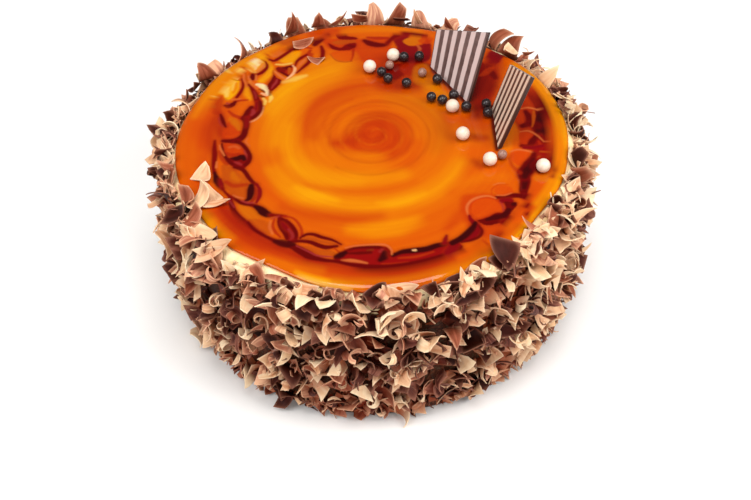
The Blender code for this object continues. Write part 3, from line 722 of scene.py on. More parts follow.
# %% Curls, left
LEFT = [
    ("brick", 0.7, 6, (4, 7, 6, 3), (-79, 26, -79, 17, -77, 8, -74, 3)),
    ("flame", 0.5, 6, (3, 6, 4), (-77, 29, -73, 25, -71, 21)),
    ("brick", 0.5, 4, (2, 5, 5, 3), (-79, 14, -76, 8, -71, 5.4, -67.6, 9)),
    ("ember", 0.9, 1.8, (), (-76, 15, -73, 20, -70, 19.6, -67.6, 16, -67, 11, -69.4, 7, -73, 4.8, -77, 7)),
    ("toffee", 0.9, 2.2, (2.4, 4.4, 3.6, 2), (-73, 20.6, -71.4, 18.4, -69.6, 15.6, -68.4, 12)),
    ("flame", 0.5, 1.6, (1.2, 2.2, 1.4), (-75, 7, -72, 6.4, -69, 8.4)),
    ("peach", 0.6, 1.2, (1, 1.4, 1), (-63.6, 17.2, -60.6, 18.8, -57.6, 23, -56.4, 29)),
    ("salmon", 0.6, 1.2, (0.8, 1.2, 0.8), (-63.6, 5, -64.6, 2.2, -62.4, -1.4)),
    ("oxblood", 1, 1.3, (), (-63.8, 30, -61.4, 29.6, -60, 27, -59.4, 23, -61.6, 19.8, -65, 18.6,
     -67.6, 20.6, -66.4, 23.4, -64.8, 26.4)),
    ("brick", 0.8, 1.4, (1.4, 2.2, 2.6), (-74.6, 27, -72, 23.6, -68.6, 21.4)),
    ("ink", 1, 1.3, (2.6, 2.8, 2.6, 2.4, 2), (-58.6, 33, -58, 29, -58.6, 25, -60.6, 21.6, -63.4, 19.4)),
    ("wine", 0.95, 1, (0.9, 1.2, 1.2), (-60.1, 33, -60.2, 29.6, -60.2, 27)),
    ("ink", 1, 1.2, (2, 2.6, 2.6, 2.4), (-62.6, 29.4, -64.4, 26.4, -65.6, 23, -67, 20.6)),
    ("rose", 0.9, 1.3, (1.6, 2.4, 1.6), (-61.8, 27, -61.5, 24.8, -62.4, 23)),
    ("ink", 1, 1.4, (3, 3.6, 3.4, 3.6, 4.2, 3.6, 2.2), (-66, 20, -64.8, 16, -65.2, 11, -66, 7, -68.4, 4,
     -72, 3, -76.4, 3.6)),
    ("wine", 0.7, 1.3, (1.6, 2.2, 1.4), (-64.8, 20.6, -64.6, 17.4, -64.8, 14)),
    ("ink", 1, 1.2, (1.2, 2.2, 2.2, 1.2), (-78.8, 24.6, -77.8, 21, -76.8, 17.6, -75.6, 14.6)),
    ("rose", 0.5, 1, (1, 1.2, 1), (-79.6, 22, -78.8, 18, -77.2, 15)),
    ("ember", 0.9, 1.6, (), (-75.6, 1.4, -70, 0.8, -66.4, -1.6, -64.6, -6.4, -67, -8, -71, -9, -75, -6.6)),
    ("brick", 0.7, 1.6, (2, 2.6, 2), (-74, -6, -71, -7.4, -68, -6.8)),
    ("salmon", 0.4, 1.6, (1.6, 2, 1.6), (-72.6, -1.4, -70, -1, -67.8, -2.4)),
    ("oxblood", 1, 1.4, (), (-74, -9.4, -70, -10, -66.6, -7.4, -63.8, -8.6, -62.6, -13, -65, -17.6,
     -69, -16.4, -72.6, -13)),
    ("ink", 1, 1.2, (2.6, 2.4, 2.4, 2.6, 2.8, 2.4), (-69.4, 2.6, -66.4, 0.4, -63.8, -4, -62.1, -9,
     -62.8, -13.4, -65.4, -17)),
    ("rose", 0.8, 0.9, (0.8, 1.2, 1), (-65, -4.6, -63.9, -8, -63.8, -11)),
    ("black", 1, 1.3, (1.6, 3.2, 3.4, 2.4), (-71.6, -10.2, -68.6, -10.2, -66, -9.4, -64.8, -11)),
    ("rose", 0.9, 1.3, (1.2, 2.4, 1.6), (-69.6, -13, -67.8, -14, -66.4, -15)),
    ("brick", 0.7, 1.4, (1.4, 2, 2.6), (-77.6, -4, -76.6, -9, -73.6, -14)),
    ("ink", 1, 1.2, (1, 1.4, 1.8, 2.2, 2.4, 2.4), (-76.8, 1.4, -76.3, -2, -75.6, -6, -73.4, -10.4,
     -70.6, -14.2, -67, -17)),
    ("salmon", 0.9, 0.9, (0.7, 1.2, 1.2, 0.8), (-78, 0.6, -77.4, -2, -76.2, -5, -75, -7.6)),
    ("oxblood", 1, 1.6, (1.4, 2.4, 3, 2.8, 2.2, 2), (-80.6, 4, -80.4, -2, -80, -6, -80, -11, -80, -16,
     -79.4, -20)),
    ("salmon", 0.7, 1, (1, 1.4), (-78.6, -12, -78.6, -16)),
    ("rust", 0.85, 2.4, (), (-76, -15, -70, -17, -66, -22, -62, -28, -62, -38, -66, -40, -70, -36,
     -74, -28)),
    ("toffee", 0.7, 2, (2.4, 3.6, 2.4), (-70, -21, -69, -24, -67, -26)),
    ("brick", 0.75, 2, (2.4, 2.8, 2.4), (-73, -27, -69, -30, -63, -29.6)),
    ("black", 1, 1.6, (1.2, 2.8, 4, 3.6, 2), (-79.2, -19.6, -78.4, -23, -77.4, -26, -76, -29,
     -74.6, -31.6)),
    ("wine", 0.8, 1.4, (1.4, 2.4, 1.6), (-76, -25, -75.4, -28.4, -74.8, -31)),
    ("ink", 1, 1.2, (1.8, 2.6, 2.4, 2.4, 2.2, 1.8), (-69.4, -16.6, -66, -18, -64, -20.4, -62, -24.4,
     -59.8, -28, -57.8, -30)),
    ("crimson", 0.8, 1.2, (1.6, 2.4, 2.4, 1.6), (-59.4, -31, -58, -34.6, -58, -38.6, -60, -42)),
    ("wine", 0.95, 1.1, (1.4, 2.2, 2.2, 1.4), (-57.8, -29.8, -56.2, -33.4, -56, -38, -57.4, -42.4)),
    ("black", 1, 1.4, (2.6, 3.6, 3.6, 3, 1.6), (-60.4, -30.4, -60.5, -33.6, -60.6, -37, -61.2, -39.6,
     -62.8, -41)),
    ("ink", 1, 1.2, (1.8, 2, 2.2, 2.2, 2.4, 3), (-70, -37.6, -66.6, -40.6, -64, -42.8, -60.6, -43.8,
     -57.6, -45, -55.4, -47)),
    ("salmon", 0.7, 1, (0.9, 1.2, 0.9), (-69, -36.6, -66.6, -38.2, -64, -39)),
    ("rose", 0.8, 0.9, (1, 1.4, 1), (-64.6, -40.8, -61.6, -42.4, -58.6, -42.6)),
    ("toffee", 0.8, 2.4, (), (-66.6, -44, -62, -45, -57, -48, -55, -52.6, -58, -55, -62.6, -52)),
    ("rust", 0.7, 2, (), (-61, -54, -55, -54, -50, -57, -50, -64, -55, -61.6)),
    ("brick", 0.85, 2.8, (), (-76, -42, -72, -40, -69.6, -48, -64, -56, -58, -62, -62, -64, -70, -58,
     -76, -48)),
    ("oxblood", 1, 1.2, (1, 1.4, 1.8, 2.2, 2.6), (-75, -31, -73, -34.4, -70.6, -37.8, -69.8, -41.6,
     -68.8, -45.6)),
    ("ink", 1, 1.5, (1.8, 2.8, 3.6, 4.2, 3.4, 2.2, 1.6), (-70, -42, -68.4, -47, -66.4, -51, -64, -54.4,
     -61.6, -57, -58, -60.4, -54, -64)),
    ("rose", 0.7, 1, (1, 1.2, 1), (-70.8, -40, -69.4, -42.6, -68, -45)),
]
print("left rows", len(LEFT))

# %% Curls, front
FRONT = [
    ("brick", 0.8, 4, (4, 7.5, 7.5, 6, 6, 7, 7, 6, 4), (-73, -46, -65, -58.4, -55, -67.6, -42, -76,
     -32, -82, -18, -87, 4, -91, 22, -89.5, 34, -85)),
    ("black", 1, 1.4, (1.6, 3.6, 4.8, 4.2, 2), (-58, -45.2, -55.6, -47, -53.4, -49.6, -51.2, -51.2,
     -49.4, -51.6)),
    ("oxblood", 0.95, 1.2, (1.8, 1.6, 1.4), (-50, -51.6, -46.4, -51.8, -43, -52.8)),
    ("brick", 0.85, 1.2, (1.4, 1.4, 1.6, 1.6, 1.4), (-43.4, -52.6, -39.4, -54.4, -36.8, -58, -35.2, -62.4,
     -35, -67)),
    ("oxblood", 0.9, 1.4, (), (-46.6, -54, -42.6, -54.6, -39, -59, -37, -64, -37.6, -68.6, -41.4, -69,
     -43.4, -65, -46, -60)),
    ("ink", 1, 1.1, (1.8, 2.6, 2.6, 2.4, 1.8), (-45.8, -53.4, -45.6, -56.4, -44.8, -60, -43, -63.8,
     -42, -67.6)),
    ("ink", 1, 1.1, (1.8, 2, 2, 1.8, 1.6), (-44.8, -54.6, -41.6, -57.4, -39.2, -61, -37.8, -64.6,
     -37.8, -68)),
    ("wine", 0.9, 1, (1.4, 2.2, 1.4), (-44.4, -57.4, -43, -60, -41.8, -62)),
    ("rose", 0.6, 1.2, (1.2, 1.6, 1.6, 1.2), (-41.4, -61.6, -40, -64, -39.4, -66.6, -40.4, -68.6)),
    ("brick", 0.85, 1.1, (1.2, 1.8, 1.8, 1.2), (-48.4, -54.6, -49, -58.6, -47.8, -62.6, -45.2, -66.4)),
    ("salmon", 0.6, 1.2, (1, 1.6, 1.2), (-50.2, -55.6, -50.4, -59.6, -49, -64)),
    ("rose", 0.6, 1, (0.9, 1.2), (-49.8, -54.2, -46.2, -52.6)),
    ("rust", 0.85, 1.6, (), (-36.4, -73.4, -32, -73, -27, -75.6, -21, -76.8, -19.6, -78.8, -24, -80.4,
     -30, -78.2)),
    ("ink", 1, 1, (1.4, 1.8, 2.1, 1.9, 1.4, 0.9), (-35.6, -67.6, -33, -65.6, -29.6, -65.7, -25.6, -67.8,
     -20.6, -70, -16.6, -73)),
    ("rust", 0.95, 1, (1.4, 1.8, 1.6, 1.2), (-34.4, -68, -30.6, -68.2, -25.6, -70.6, -19.6, -72.4)),
    ("ink", 1, 1, (1.6, 1.8, 2.3, 2.6, 2.6, 1.6), (-41, -69.8, -36, -69.6, -31, -70.6, -27, -73,
     -23.4, -74.4, -18.6, -74)),
    ("brick", 0.7, 1, (1, 1.2), (-19.6, -75.4, -17, -78.6)),
    ("crimson", 1, 1.6, (), (-18, -79, -13, -76, -4, -75.4, 3, -76, 6, -80, 12, -79.6, 22, -78.6, 31, -75,
     38, -75.4, 39, -79, 30, -83.6, 16, -87, 0, -87.6, -14, -85.4, -20, -82.6)),
    ("oxblood", 0.9, 1, (1.6, 1.8), (-12, -77.4, -4, -77.4)),
    ("ink", 1, 1.2, (1.4, 2, 2.3, 2.3, 1.6), (-14.6, -77.4, -10, -75.8, -5, -75.6, 0, -76, 4.4, -77)),
    ("ink", 1, 1.2, (1.4, 2, 1.8), (-13.4, -78.9, -8, -79.1, -3, -79)),
    ("brown", 0.6, 1, (1, 1.2), (-4.4, -77.6, -2, -77.4)),
    ("ember", 0.5, 1.4, (1.2, 1.8, 1.2), (10, -83.4, 18, -83, 26, -80.6)),
    ("black", 1, 1.4, (3.4, 3.6, 2.4), (-18.6, -80.8, -17, -79.8, -14.8, -78.4)),
    ("black", 1, 1.8, (3.6, 4.2, 2.6), (4, -79.4, 3.2, -82, 1.4, -84)),
    ("oxblood", 0.9, 1.2, (1.4, 1.6, 1.4), (4.2, -76.8, 5.8, -78.8, 6, -81.6)),
    ("rose", 0.6, 1.2, (1.6, 1.4), (1.4, -78.8, 2.4, -77.6)),
    ("salmon", 0.85, 1.2, (1.2, 2.2, 1.8, 1.2), (-16.4, -83.2, -12, -83.6, -8.6, -84.4, -5, -85.6)),
    ("ember", 0.6, 1.2, (0.8, 1.2, 0.8), (2, -86.6, 8, -86.8, 14, -86.2)),
    ("black", 1, 1.3, (2, 2.8, 3.4, 3.4, 3.2, 2.6), (7.4, -81.6, 11.6, -79.7, 17, -79.2, 23, -78.6,
     28, -76.8, 32, -76.2)),
    ("ink", 1, 1.3, (1.4, 1.6, 1.8, 2, 2.4, 4.2, 4.8, 2.6, 2, 2, 2.6, 2.8, 2.8, 3.2, 3.4, 3.2, 3, 3, 2.4),
     (-61, -55.6, -58, -60.4, -54, -64, -50, -67, -46.4, -69.4, -43.6, -70.8, -41, -72, -38.4, -73.4,
     -34, -77, -30, -80, -25, -82.2, -19, -83.6, -12, -86, -4, -87.8, 5, -88.4, 14, -87.8, 22, -86,
     30, -83.6, 36, -81, 38.8, -78.4)),
    ("black", 0.8, 1.5, (2.4, 4.4, 4.6, 2.4), (-47.6, -69, -45, -70, -42.4, -71, -39, -71.4)),
    ("rose", 0.9, 0.9, (0.8, 1, 1, 0.8), (-37.4, -72.6, -32, -76.4, -27.6, -79.4, -21, -80.6)),
    ("wine", 0.95, 1.6, (3.2, 4.6, 4.4), (32.6, -81.4, 35, -79, 36.4, -76.4)),
    ("wine", 0.95, 1.2, (1.2, 2.4, 2.2), (33, -70.8, 32.4, -72.8, 31.6, -75.4)),
    ("salmon", 0.8, 0.9, (0.7, 1.1, 1.1, 1.3, 1.2, 0.8), (-14.6, -75.4, -10, -74.4, 0, -74.2, 4.4, -75,
     6.7, -78, 6.8, -81)),
    # painted glint on the glaze
    ("peach", 0.8, 0.7, (1.2, 1.5), (16.8, -79, 17.8, -79)),
]
print("front rows", len(FRONT))

# %% Curls, right
RIGHT = [
    ("ember", 0.75, 4, (), (42, -46, 50, -44, 58, -45, 64, -52, 58, -72, 48, -72, 42, -62)),
    ("brick", 0.5, 2.5, (2.6, 3, 2), (73.4, -46, 73.6, -54, 72, -63)),
    ("oxblood", 0.95, 1.2, (2.2, 2.2, 1.6, 0.8), (73, -47, 73.2, -52, 72.8, -56, 72, -61)),
    ("ink", 1, 1.3, (4.6, 5.6, 5.2, 4.4, 2.6), (73.4, -30.6, 74.4, -35.6, 73.6, -40, 72.6, -44, 72.8, -48)),
    ("black", 0.8, 1.2, (2, 3, 2.2), (74.6, -33, 74.2, -37.6, 73.2, -41.6)),
    ("flame", 0.8, 1.6, (), (58.2, -43, 60, -40, 63.4, -39.2, 67, -41, 67.4, -44.4, 64, -46, 60.4, -45.8)),
    ("ember", 0.7, 0.9, (0.7, 1, 0.9), (57, -45, 57.6, -41.4, 60.6, -38.8)),
    ("ember", 0.6, 0.9, (0.8, 0.8), (60.6, -38.6, 65.6, -38.8)),
    ("salmon", 0.6, 0.9, (0.7, 1, 0.7), (58.6, -38.6, 61.4, -37.6, 64, -37.8)),
    ("ink", 1, 1.2, (2.2, 3, 3.2, 3), (59.4, -47.4, 63.6, -47.8, 68, -46.6, 72.4, -47.6)),
    ("salmon", 0.6, 0.9, (0.8, 1.1, 0.8), (59.6, -45.8, 63, -46, 66.6, -44.8)),
    ("wine", 1, 1.2, (3, 3.4), (61.6, -49.8, 65.4, -50)),
    ("flame", 0.95, 1.2, (), (46.4, -53, 48, -49, 52, -47, 56.4, -48, 59.6, -51, 60.4, -55, 58.6, -57.2,
     54.6, -59.2, 51, -60.6, 48, -59.4, 46.2, -56.6)),
    ("ink", 1, 1.3, (), (62.4, -50.6, 66, -50.8, 68.2, -51.6, 67.8, -54, 65.4, -57, 63.4, -61, 61.6, -64.4,
     58, -64.6, 54, -65.6, 50.6, -64.6, 48.4, -62, 50.6, -61.2, 54, -60, 57.6, -57.8, 61, -57.6,
     62.6, -54.6)),
    ("black", 0.85, 1.2, (2, 3.2, 3.2, 2.4), (53, -61.8, 57.6, -60.4, 61, -59.8, 64, -56)),
    ("black", 0.8, 1, (2.2, 2.2), (66.6, -52.6, 67.2, -52.2)),
    ("oxblood", 1, 1.2, (2.8, 2.2, 1.6, 0.8), (60.8, -64, 59.8, -67.4, 58.2, -70.6, 56.2, -73)),
    ("ember", 0.8, 0.9, (0.8, 1.1, 1.1, 0.8), (45.8, -54.4, 46.8, -50.2, 50, -47.7, 54.6, -47.2, 58, -48.6,
     60, -51.4)),
    ("salmon", 0.85, 0.9, (0.8, 1.4, 1.5, 1.6, 1.2, 0.8), (44.2, -58, 44.2, -53, 46.4, -49, 50.4, -46.6,
     55, -46, 58.6, -47.8)),
    ("rose", 0.6, 0.9, (0.8, 1.2, 0.8), (60.6, -50.6, 61.4, -53.4, 61.4, -56.6)),
    ("wine", 1, 1, (1.2, 2.2, 2.6), (44.9, -58.6, 45.2, -60.8, 46.4, -63.4)),
    ("wine", 1, 1.2, (2, 3.4, 3.6, 2.4), (48.2, -65, 47.4, -69, 45, -72, 40.6, -74)),
    ("ink", 0.95, 1, (1.2, 1.8, 1.8, 1.6, 1.2), (48.8, -65.6, 49.8, -68.8, 48.4, -72.2, 44.4, -74.4,
     39.6, -75.4)),
    ("black", 1, 1.3, (2.2, 3.4, 3.6, 3.4, 3.2), (47.2, -63.6, 45.8, -66.4, 43.2, -69.6, 39.6, -73,
     35.4, -75.6)),
    ("brick", 0.7, 1.6, (1.6, 1.4), (50.6, -74.4, 51.4, -77.4)),
    # painted light: a brighter orange where plate 2 casts its shadow on the glaze
    ("orange", 0.8, 4, (3, 5, 5, 5), (74, 4, 71, -3, 68.5, -9, 67, -14)),
    ("brick", 0.85, 3, (), (74, 12, 77, 22, 80, 33, 87, 34, 92, 22, 93.6, 8, 92.6, -6, 90, -18, 84, -16,
     75, -12, 76, -2)),
    ("ink", 1, 2.4, (3, 4.4, 5.6, 7.6, 7.4, 6, 5, 3.4, 2), (84.4, 33, 87, 26, 89.4, 18, 88.6, 10, 86.6, 3,
     87, -4, 88, -11, 88.2, -19, 88.8, -30)),
    ("black", 0.9, 2.4, (2.4, 5.2, 5.4, 3.2), (88.8, 14, 87, 6, 87, -2, 88, -10)),
    ("oxblood", 0.85, 2.4, (), (83.4, -6, 87, -4, 89, -13, 88.4, -20, 83, -16, 80.6, -12.4)),
    ("ember", 0.9, 1.6, (), (76, 14, 79.4, 15.6, 79.6, 10, 78.6, 5, 76, 6.4)),
    ("ink", 1, 1.6, (2.4, 3.6, 4.2, 3), (81.2, 14.6, 82.4, 10, 81.8, 5.4, 78.2, 3.4)),
    ("ink", 0.9, 2, (3, 3.6), (82, 5, 86, 3)),
    ("rust", 0.9, 1, (1.2, 2, 1.4, 0.8), (85.4, 14.6, 84.8, 10, 84, 6, 83, 2.6)),
    ("salmon", 0.85, 0.9, (0.7, 1.2, 1.2, 0.9), (79, 17, 82.6, 17.6, 86.6, 16, 90.2, 12.8)),
    ("ember", 0.9, 1.2, (), (76, -2, 79.4, -1.6, 82.6, -4, 81, -8, 79.2, -11.4, 76.4, -10.6, 75.2, -6)),
    ("ink", 1, 1.5, (2.4, 3.6, 3.4, 2.2), (84.2, -4.6, 81.6, -8.4, 79.6, -12, 76, -11.6)),
    ("brick", 0.9, 1, (1.2, 1.8), (84.8, -8.6, 85.2, -11)),
    ("salmon", 0.75, 0.9, (0.8, 1.2, 1.1, 0.8), (76.4, -0.8, 80.6, -0.6, 84.4, -4, 87.4, -9.2)),
    ("wine", 0.95, 1.2, (2.2, 2.8, 2.4), (77, -13, 82, -13.4, 86, -12.4)),
    ("crimson", 0.9, 2, (), (81, -15, 87, -14, 88.4, -22, 84, -23.6, 80.6, -28, 79.6, -22)),
    ("rust", 0.7, 1, (1.2, 1.4), (84.6, -16.4, 86.6, -16.8)),
    ("rust", 0.6, 1, (1, 1.2), (82, -21, 83.4, -20)),
    ("flame", 0.95, 1.4, (), (69.6, -16.4, 74, -15, 79, -16.4, 77.6, -22, 75.4, -26.6, 71.6, -25,
     69, -20.6)),
    ("salmon", 0.9, 0.9, (0.8, 1.2, 1.2, 0.8), (69.6, -15.4, 73.4, -14.2, 78, -15.4, 81.4, -17.2)),
    ("ink", 1, 2, (2.2, 4, 7, 7.6, 5.6), (81.4, -17.6, 79.8, -21.6, 78, -26, 76, -29.6, 74, -33.4)),
    ("black", 0.85, 2, (2, 4.4, 4.4, 3), (80.4, -22, 78.4, -27, 76, -30, 74.4, -34)),
    ("brick", 0.6, 1.6, (1, 2, 2.6), (68.4, -20, 69.4, -26, 72.4, -31)),
    ("ink", 0.9, 1.4, (2.4, 3.4, 2.6), (82, -23.6, 80.2, -27, 82.6, -31)),
    ("toffee", 0.8, 1.6, (), (79, -34, 84, -32.6, 88, -33, 87, -37, 80, -38)),
    ("wine", 0.7, 1.2, (1.4, 1.4, 1), (88.4, -24, 88.8, -30, 88.2, -35)),
]
print("right rows", len(RIGHT))

# %% Curls, back and behind the plates
BACK = [
    # dark red behind plate 1: partly the marbling's dark red, partly painted reflection and shadow of the
    # plate
    ("brick", 0.85, 7, (6, 12, 14, 12, 8), (59, 20, 61, 32, 64, 44, 68, 56, 71, 66)),
    ("oxblood", 0.75, 8, (6, 12, 13, 9), (56, 14, 58, 24, 62, 36, 64, 48)),
    ("oxblood", 0.7, 4, (3, 6, 6, 4), (57, 30, 61, 42, 65, 52, 71, 62)),
    ("black", 0.5, 3, (1.5, 3, 3, 2), (54, 24, 56, 34, 59, 44, 64, 54)),
    ("amber", 0.7, 6, (4, 7, 6), (28, 49, 34, 37, 40, 30)),
    # painted shadow along the feet of the two plates
    ("black", 0.85, 1.8, (1.6, 2.6, 2.6, 2.2), (33.6, 56.2, 39, 46, 45, 35, 51.2, 23.6)),
    ("black", 0.85, 1.8, (1.6, 2.4, 2.4, 2), (64, 20.4, 63.6, 10, 63.3, -2, 63.2, -13.4)),
    ("wine", 0.95, 1.6, (), (66.4, 64, 70, 67.6, 75, 65, 73.4, 59, 70.4, 55.4, 66.6, 57)),
    ("oxblood", 0.9, 1.6, (2.4, 3.6, 3), (62.6, 56, 62, 52, 60.4, 48)),
    ("ink", 0.8, 2, (3, 4, 3), (66.4, 50, 67.4, 47, 68.4, 43.6)),
    ("ember", 0.5, 2, (), (60, 46, 65, 52, 69, 53, 68, 50, 64, 46)),
    ("ember", 0.85, 3, (), (-24, 86, -10, 84, 0, 84, 12, 84, 14, 76, 10, 64, -2, 63, -6, 72, -14, 74,
     -22, 78)),
    ("ink", 1, 1.6, (3.2, 4.4, 3.2, 2.2), (-29, 81, -27, 84, -24, 87, -21, 88.6)),
    ("oxblood", 1, 1.2, (1.6, 2.6, 2.4, 1.4), (-25.4, 79, -24.6, 74, -25, 69, -26.6, 65)),
    ("rust", 0.8, 1.6, (), (-19, 82.6, -13, 84, -7, 83, -6, 80.4, -11, 79.6, -17, 80)),
    ("oxblood", 1, 1.4, (), (-16.2, 88.8, -13.4, 89, -10.6, 87.2, -5.6, 85.6, -5.4, 83.8, -10, 83.8,
     -15.6, 85)),
    ("oxblood", 1, 1.5, (), (-21.4, 81.4, -18.4, 79, -14.6, 76.8, -11, 79.8, -6, 80.4, -6.4, 76.6,
     -10, 74.4, -15, 74.2, -19.6, 76.4)),
    ("ink", 0.8, 1.2, (2, 2.4), (-10, 78.4, -7.4, 77.4)),
    ("brick", 0.9, 1.2, (1.6, 1.6, 1.2), (-7.4, 74.4, -8, 69, -9, 64.4)),
    ("flame", 0.8, 1.6, (), (-20, 72, -15, 74, -9.4, 73, -8.8, 65.6, -13, 64.6, -17.4, 66.6)),
    ("rust", 0.85, 1, (0.8, 1.2, 1), (-20.6, 71.6, -17.4, 66, -12.8, 63.9, -8.6, 64.2)),
    ("ink", 1, 1.6, (2.4, 4.4, 4.2, 3, 2), (-1, 82.2, 2.2, 79.4, 6.5, 77.6, 10.5, 77.6, 12.6, 80)),
    ("brick", 0.9, 1.6, (2, 3, 2.4), (1, 85, 6, 84, 12, 83.6)),
    ("wine", 0.95, 2, (), (14.6, 84, 20, 86, 24, 84, 23, 79, 24.4, 75.4, 31, 76, 34, 80.6, 36, 76, 35, 64,
     30, 60, 20, 61, 15.4, 66, 17, 74)),
    ("oxblood", 1, 1.6, (2.2, 3, 3, 3.4, 2.6, 1.4), (12, 79.4, 15.6, 84, 19.6, 86.4, 25, 86.6, 29.4, 85.2,
     34, 83.6)),
    ("ink", 0.8, 1.2, (1.4, 2.6, 1.4), (25, 86.4, 28.4, 85.6, 31.6, 84.4)),
    ("toffee", 1, 1.6, (), (20.6, 80, 24, 82.8, 29, 82.4, 33, 79.4, 29.6, 77.6, 26.4, 75.6, 22.8, 76.4)),
    ("ember", 0.8, 1.6, (), (29, 80, 34, 82.6, 37, 80, 35.6, 76.6, 31, 77)),
    ("salmon", 0.5, 1.2, (1.4, 2, 1.2), (28.6, 75, 29.6, 72.4, 29, 70)),
    ("oxblood", 0.9, 2.4, (), (13, 60, 20, 60, 30, 60, 33.4, 57, 26, 56, 20, 50, 14, 46, 9, 50, 9, 56)),
    ("brick", 0.9, 2.4, (), (18, 58, 30, 59, 32, 52, 26, 50, 20, 50)),
    ("toffee", 0.8, 2.8, (), (26, 57, 32.6, 58, 35, 48, 40, 38, 34, 40, 26, 41, 24, 47)),
]
print("back rows", len(BACK))

# %% Paint
BASE_TINT = "caramel"
HALOES = {"black": "oxblood", "ink": "crimson", "oxblood": "brick", "wine": "brick"}
HALO_SOFTNESS, HALO_SHARE = 3.6, 0.85


def painted(spots, rows):
    """Colour of the glaze at each spot, after all rows are painted one over the other."""
    colour = np.tile(albedo(BASE_TINT), (len(spots), 1))
    for tint, opaque, softness, widths, points in rows:
        coats = [(tint, opaque, softness)]
        if tint in HALOES:
            coats.insert(0, (HALOES[tint], opaque * HALO_SHARE, softness + HALO_SOFTNESS))
        for coat, share, soft in coats:
            cover = stroke(spots, widths, points, soft) if widths else fill(spots, points, soft)
            colour += (share * cover)[:, None] * (albedo(coat) - colour)
    return colour


marbling = painted(glaze_points[:, :2] / MM, SPIRAL + BACK_LEFT + LEFT + FRONT + RIGHT + BACK)
print("painted points", len(marbling), "mean colour", marbling.mean(0).round(3))

# %% [markdown]
# ## The mirror glaze: its finish
#
# The mesh already holds the painted colour. The finish adds what is too fine to paint: a
# spiral noise for the streaks of the pour, which makes the green share waver and so turns
# the orange redder or yellower. The surface is almost a mirror.

# %% Glaze finish
STREAK_RED, STREAK_GREEN = 0.12, 0.58
# turns of the spiral and rings of the noise, both for each metre outwards
STREAK_TWIST, STREAK_RINGS = 26.0, 250.0


def spiral_streaks(tree):
    """Streaks that run round the middle in a slow spiral, about 0.5 on average."""
    place = add_node(tree, "ShaderNodeSeparateXYZ", {0: object_place(tree)}).outputs
    across = number(tree, "MULTIPLY", place[0], place[0])
    radius = number(tree, "SQRT", number(tree, "MULTIPLY_ADD", place[1], place[1], across))
    angle = number(tree, "ARCTAN2", place[1], place[0])
    turned = number(tree, "MULTIPLY_ADD", radius, STREAK_TWIST, angle)
    row = add_node(tree, "ShaderNodeCombineXYZ", {
        0: number(tree, "COSINE", turned), 1: number(tree, "SINE", turned),
        2: number(tree, "MULTIPLY", radius, STREAK_RINGS)})
    noise = add_node(tree, "ShaderNodeTexNoise", {"Vector": row.outputs[0], "Scale": 1.0, "Detail": 3.0})
    return noise.outputs["Fac"]


def make_glaze_finish():
    """Caramel mirror glaze with marbling read from the mesh and streaks over it."""
    finish, tree, shader = new_finish("caramel_glaze", 0.07, IOR=1.45, Specular_IOR_Level=0.3)
    streaks = spiral_streaks(tree)
    warmth = add_node(tree, "ShaderNodeCombineXYZ", {
        0: waver(tree, streaks, STREAK_RED, 1.0), 1: waver(tree, streaks, STREAK_GREEN, 1.0), 2: 1.0})
    colour = add_node(tree, "ShaderNodeVectorMath",
                      {0: read(tree, "marbling", "Vector"), 1: warmth.outputs[0]}, operation="MULTIPLY")
    tree.links.new(colour.outputs[0], shader.inputs["Base Color"])
    uneven = use_group(tree, UNEVEN, {"Place": object_place(tree), "Size": 260.0})
    add_bump(tree, shader, uneven["Height"], distance=0.0001, strength=0.05)
    return finish


glaze = mesh_piece("mirror_glaze", glaze_points, glaze_faces + [centre], make_glaze_finish())
store(glaze, "marbling", marbling)
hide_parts("glaze")
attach(glaze, "root")
print("glaze triangles", triangles(glaze))

# %% [markdown]
# ## Chocolate shavings: one curl
#
# A shaving is a thin strip that curls as the knife lifts it: broad at one end, pointed at
# the other, rolled along its length, cupped across it and a little twisted. Each one starts
# as a flat grid that is bent by a rule. All shavings of a kind are bent at the same time,
# as arrays of shape (shavings, steps along, steps across, 3), and then get their thickness.

# %% Thin closed sheets from grids
THICKNESS = 0.0008
# how much thinner the very edge is, and how late towards it the sheet thins
THIN_EDGE, THINS_LATE = 0.5, 4
# how far the ends of a curl are cut askew, as shares of its length
ROOT_ASKEW, TIP_ASKEW = 0.22, 0.34
# ragged sides: depth and count of each wave, and how often its start goes with the curl's phase
RAGGED = ((0.07, 7, 1), (0.04, 23, 2))
TAPER_POWER, UNTWISTED, LEAST_CUP = 1.2, 0.3, 1e-3


def sheet_faces(steps, cross):
    """Faces of one closed sheet: its front, its back and the rim between them."""
    index = np.arange(steps * cross).reshape(steps, cross)
    front = np.stack([index[:-1, :-1], index[1:, :-1], index[1:, 1:], index[:-1, 1:]], -1).reshape(-1, 4)
    back = front[:, ::-1] + steps * cross
    border = np.concatenate([index[0, :-1], index[:-1, -1], index[-1, :0:-1], index[:0:-1, 0]])
    following = np.roll(border, -1)
    rim = np.stack([border, following, following + steps * cross, border + steps * cross], -1)
    return np.concatenate([front, back, rim])


def thickened(grids, thickness):
    """Front and back points of sheets from their middle surfaces, thinner towards the edges."""
    count, steps, cross, _ = grids.shape
    normal = np.cross(np.gradient(grids, axis=1), np.gradient(grids, axis=2))
    normal /= np.linalg.norm(normal, axis=-1, keepdims=True) + TINY
    s = np.abs(np.linspace(-1, 1, steps))[:, None]
    t = np.abs(np.linspace(-1, 1, cross))[None, :]
    edge = np.maximum(s, t)
    half = 0.5 * thickness[:, None, None, None] * (1 - THIN_EDGE * edge ** THINS_LATE)[None, :, :, None]
    both = np.stack([grids + half * normal, grids - half * normal], axis=1)
    return both.reshape(count, -1, 3), np.tile(edge.reshape(-1), 2)


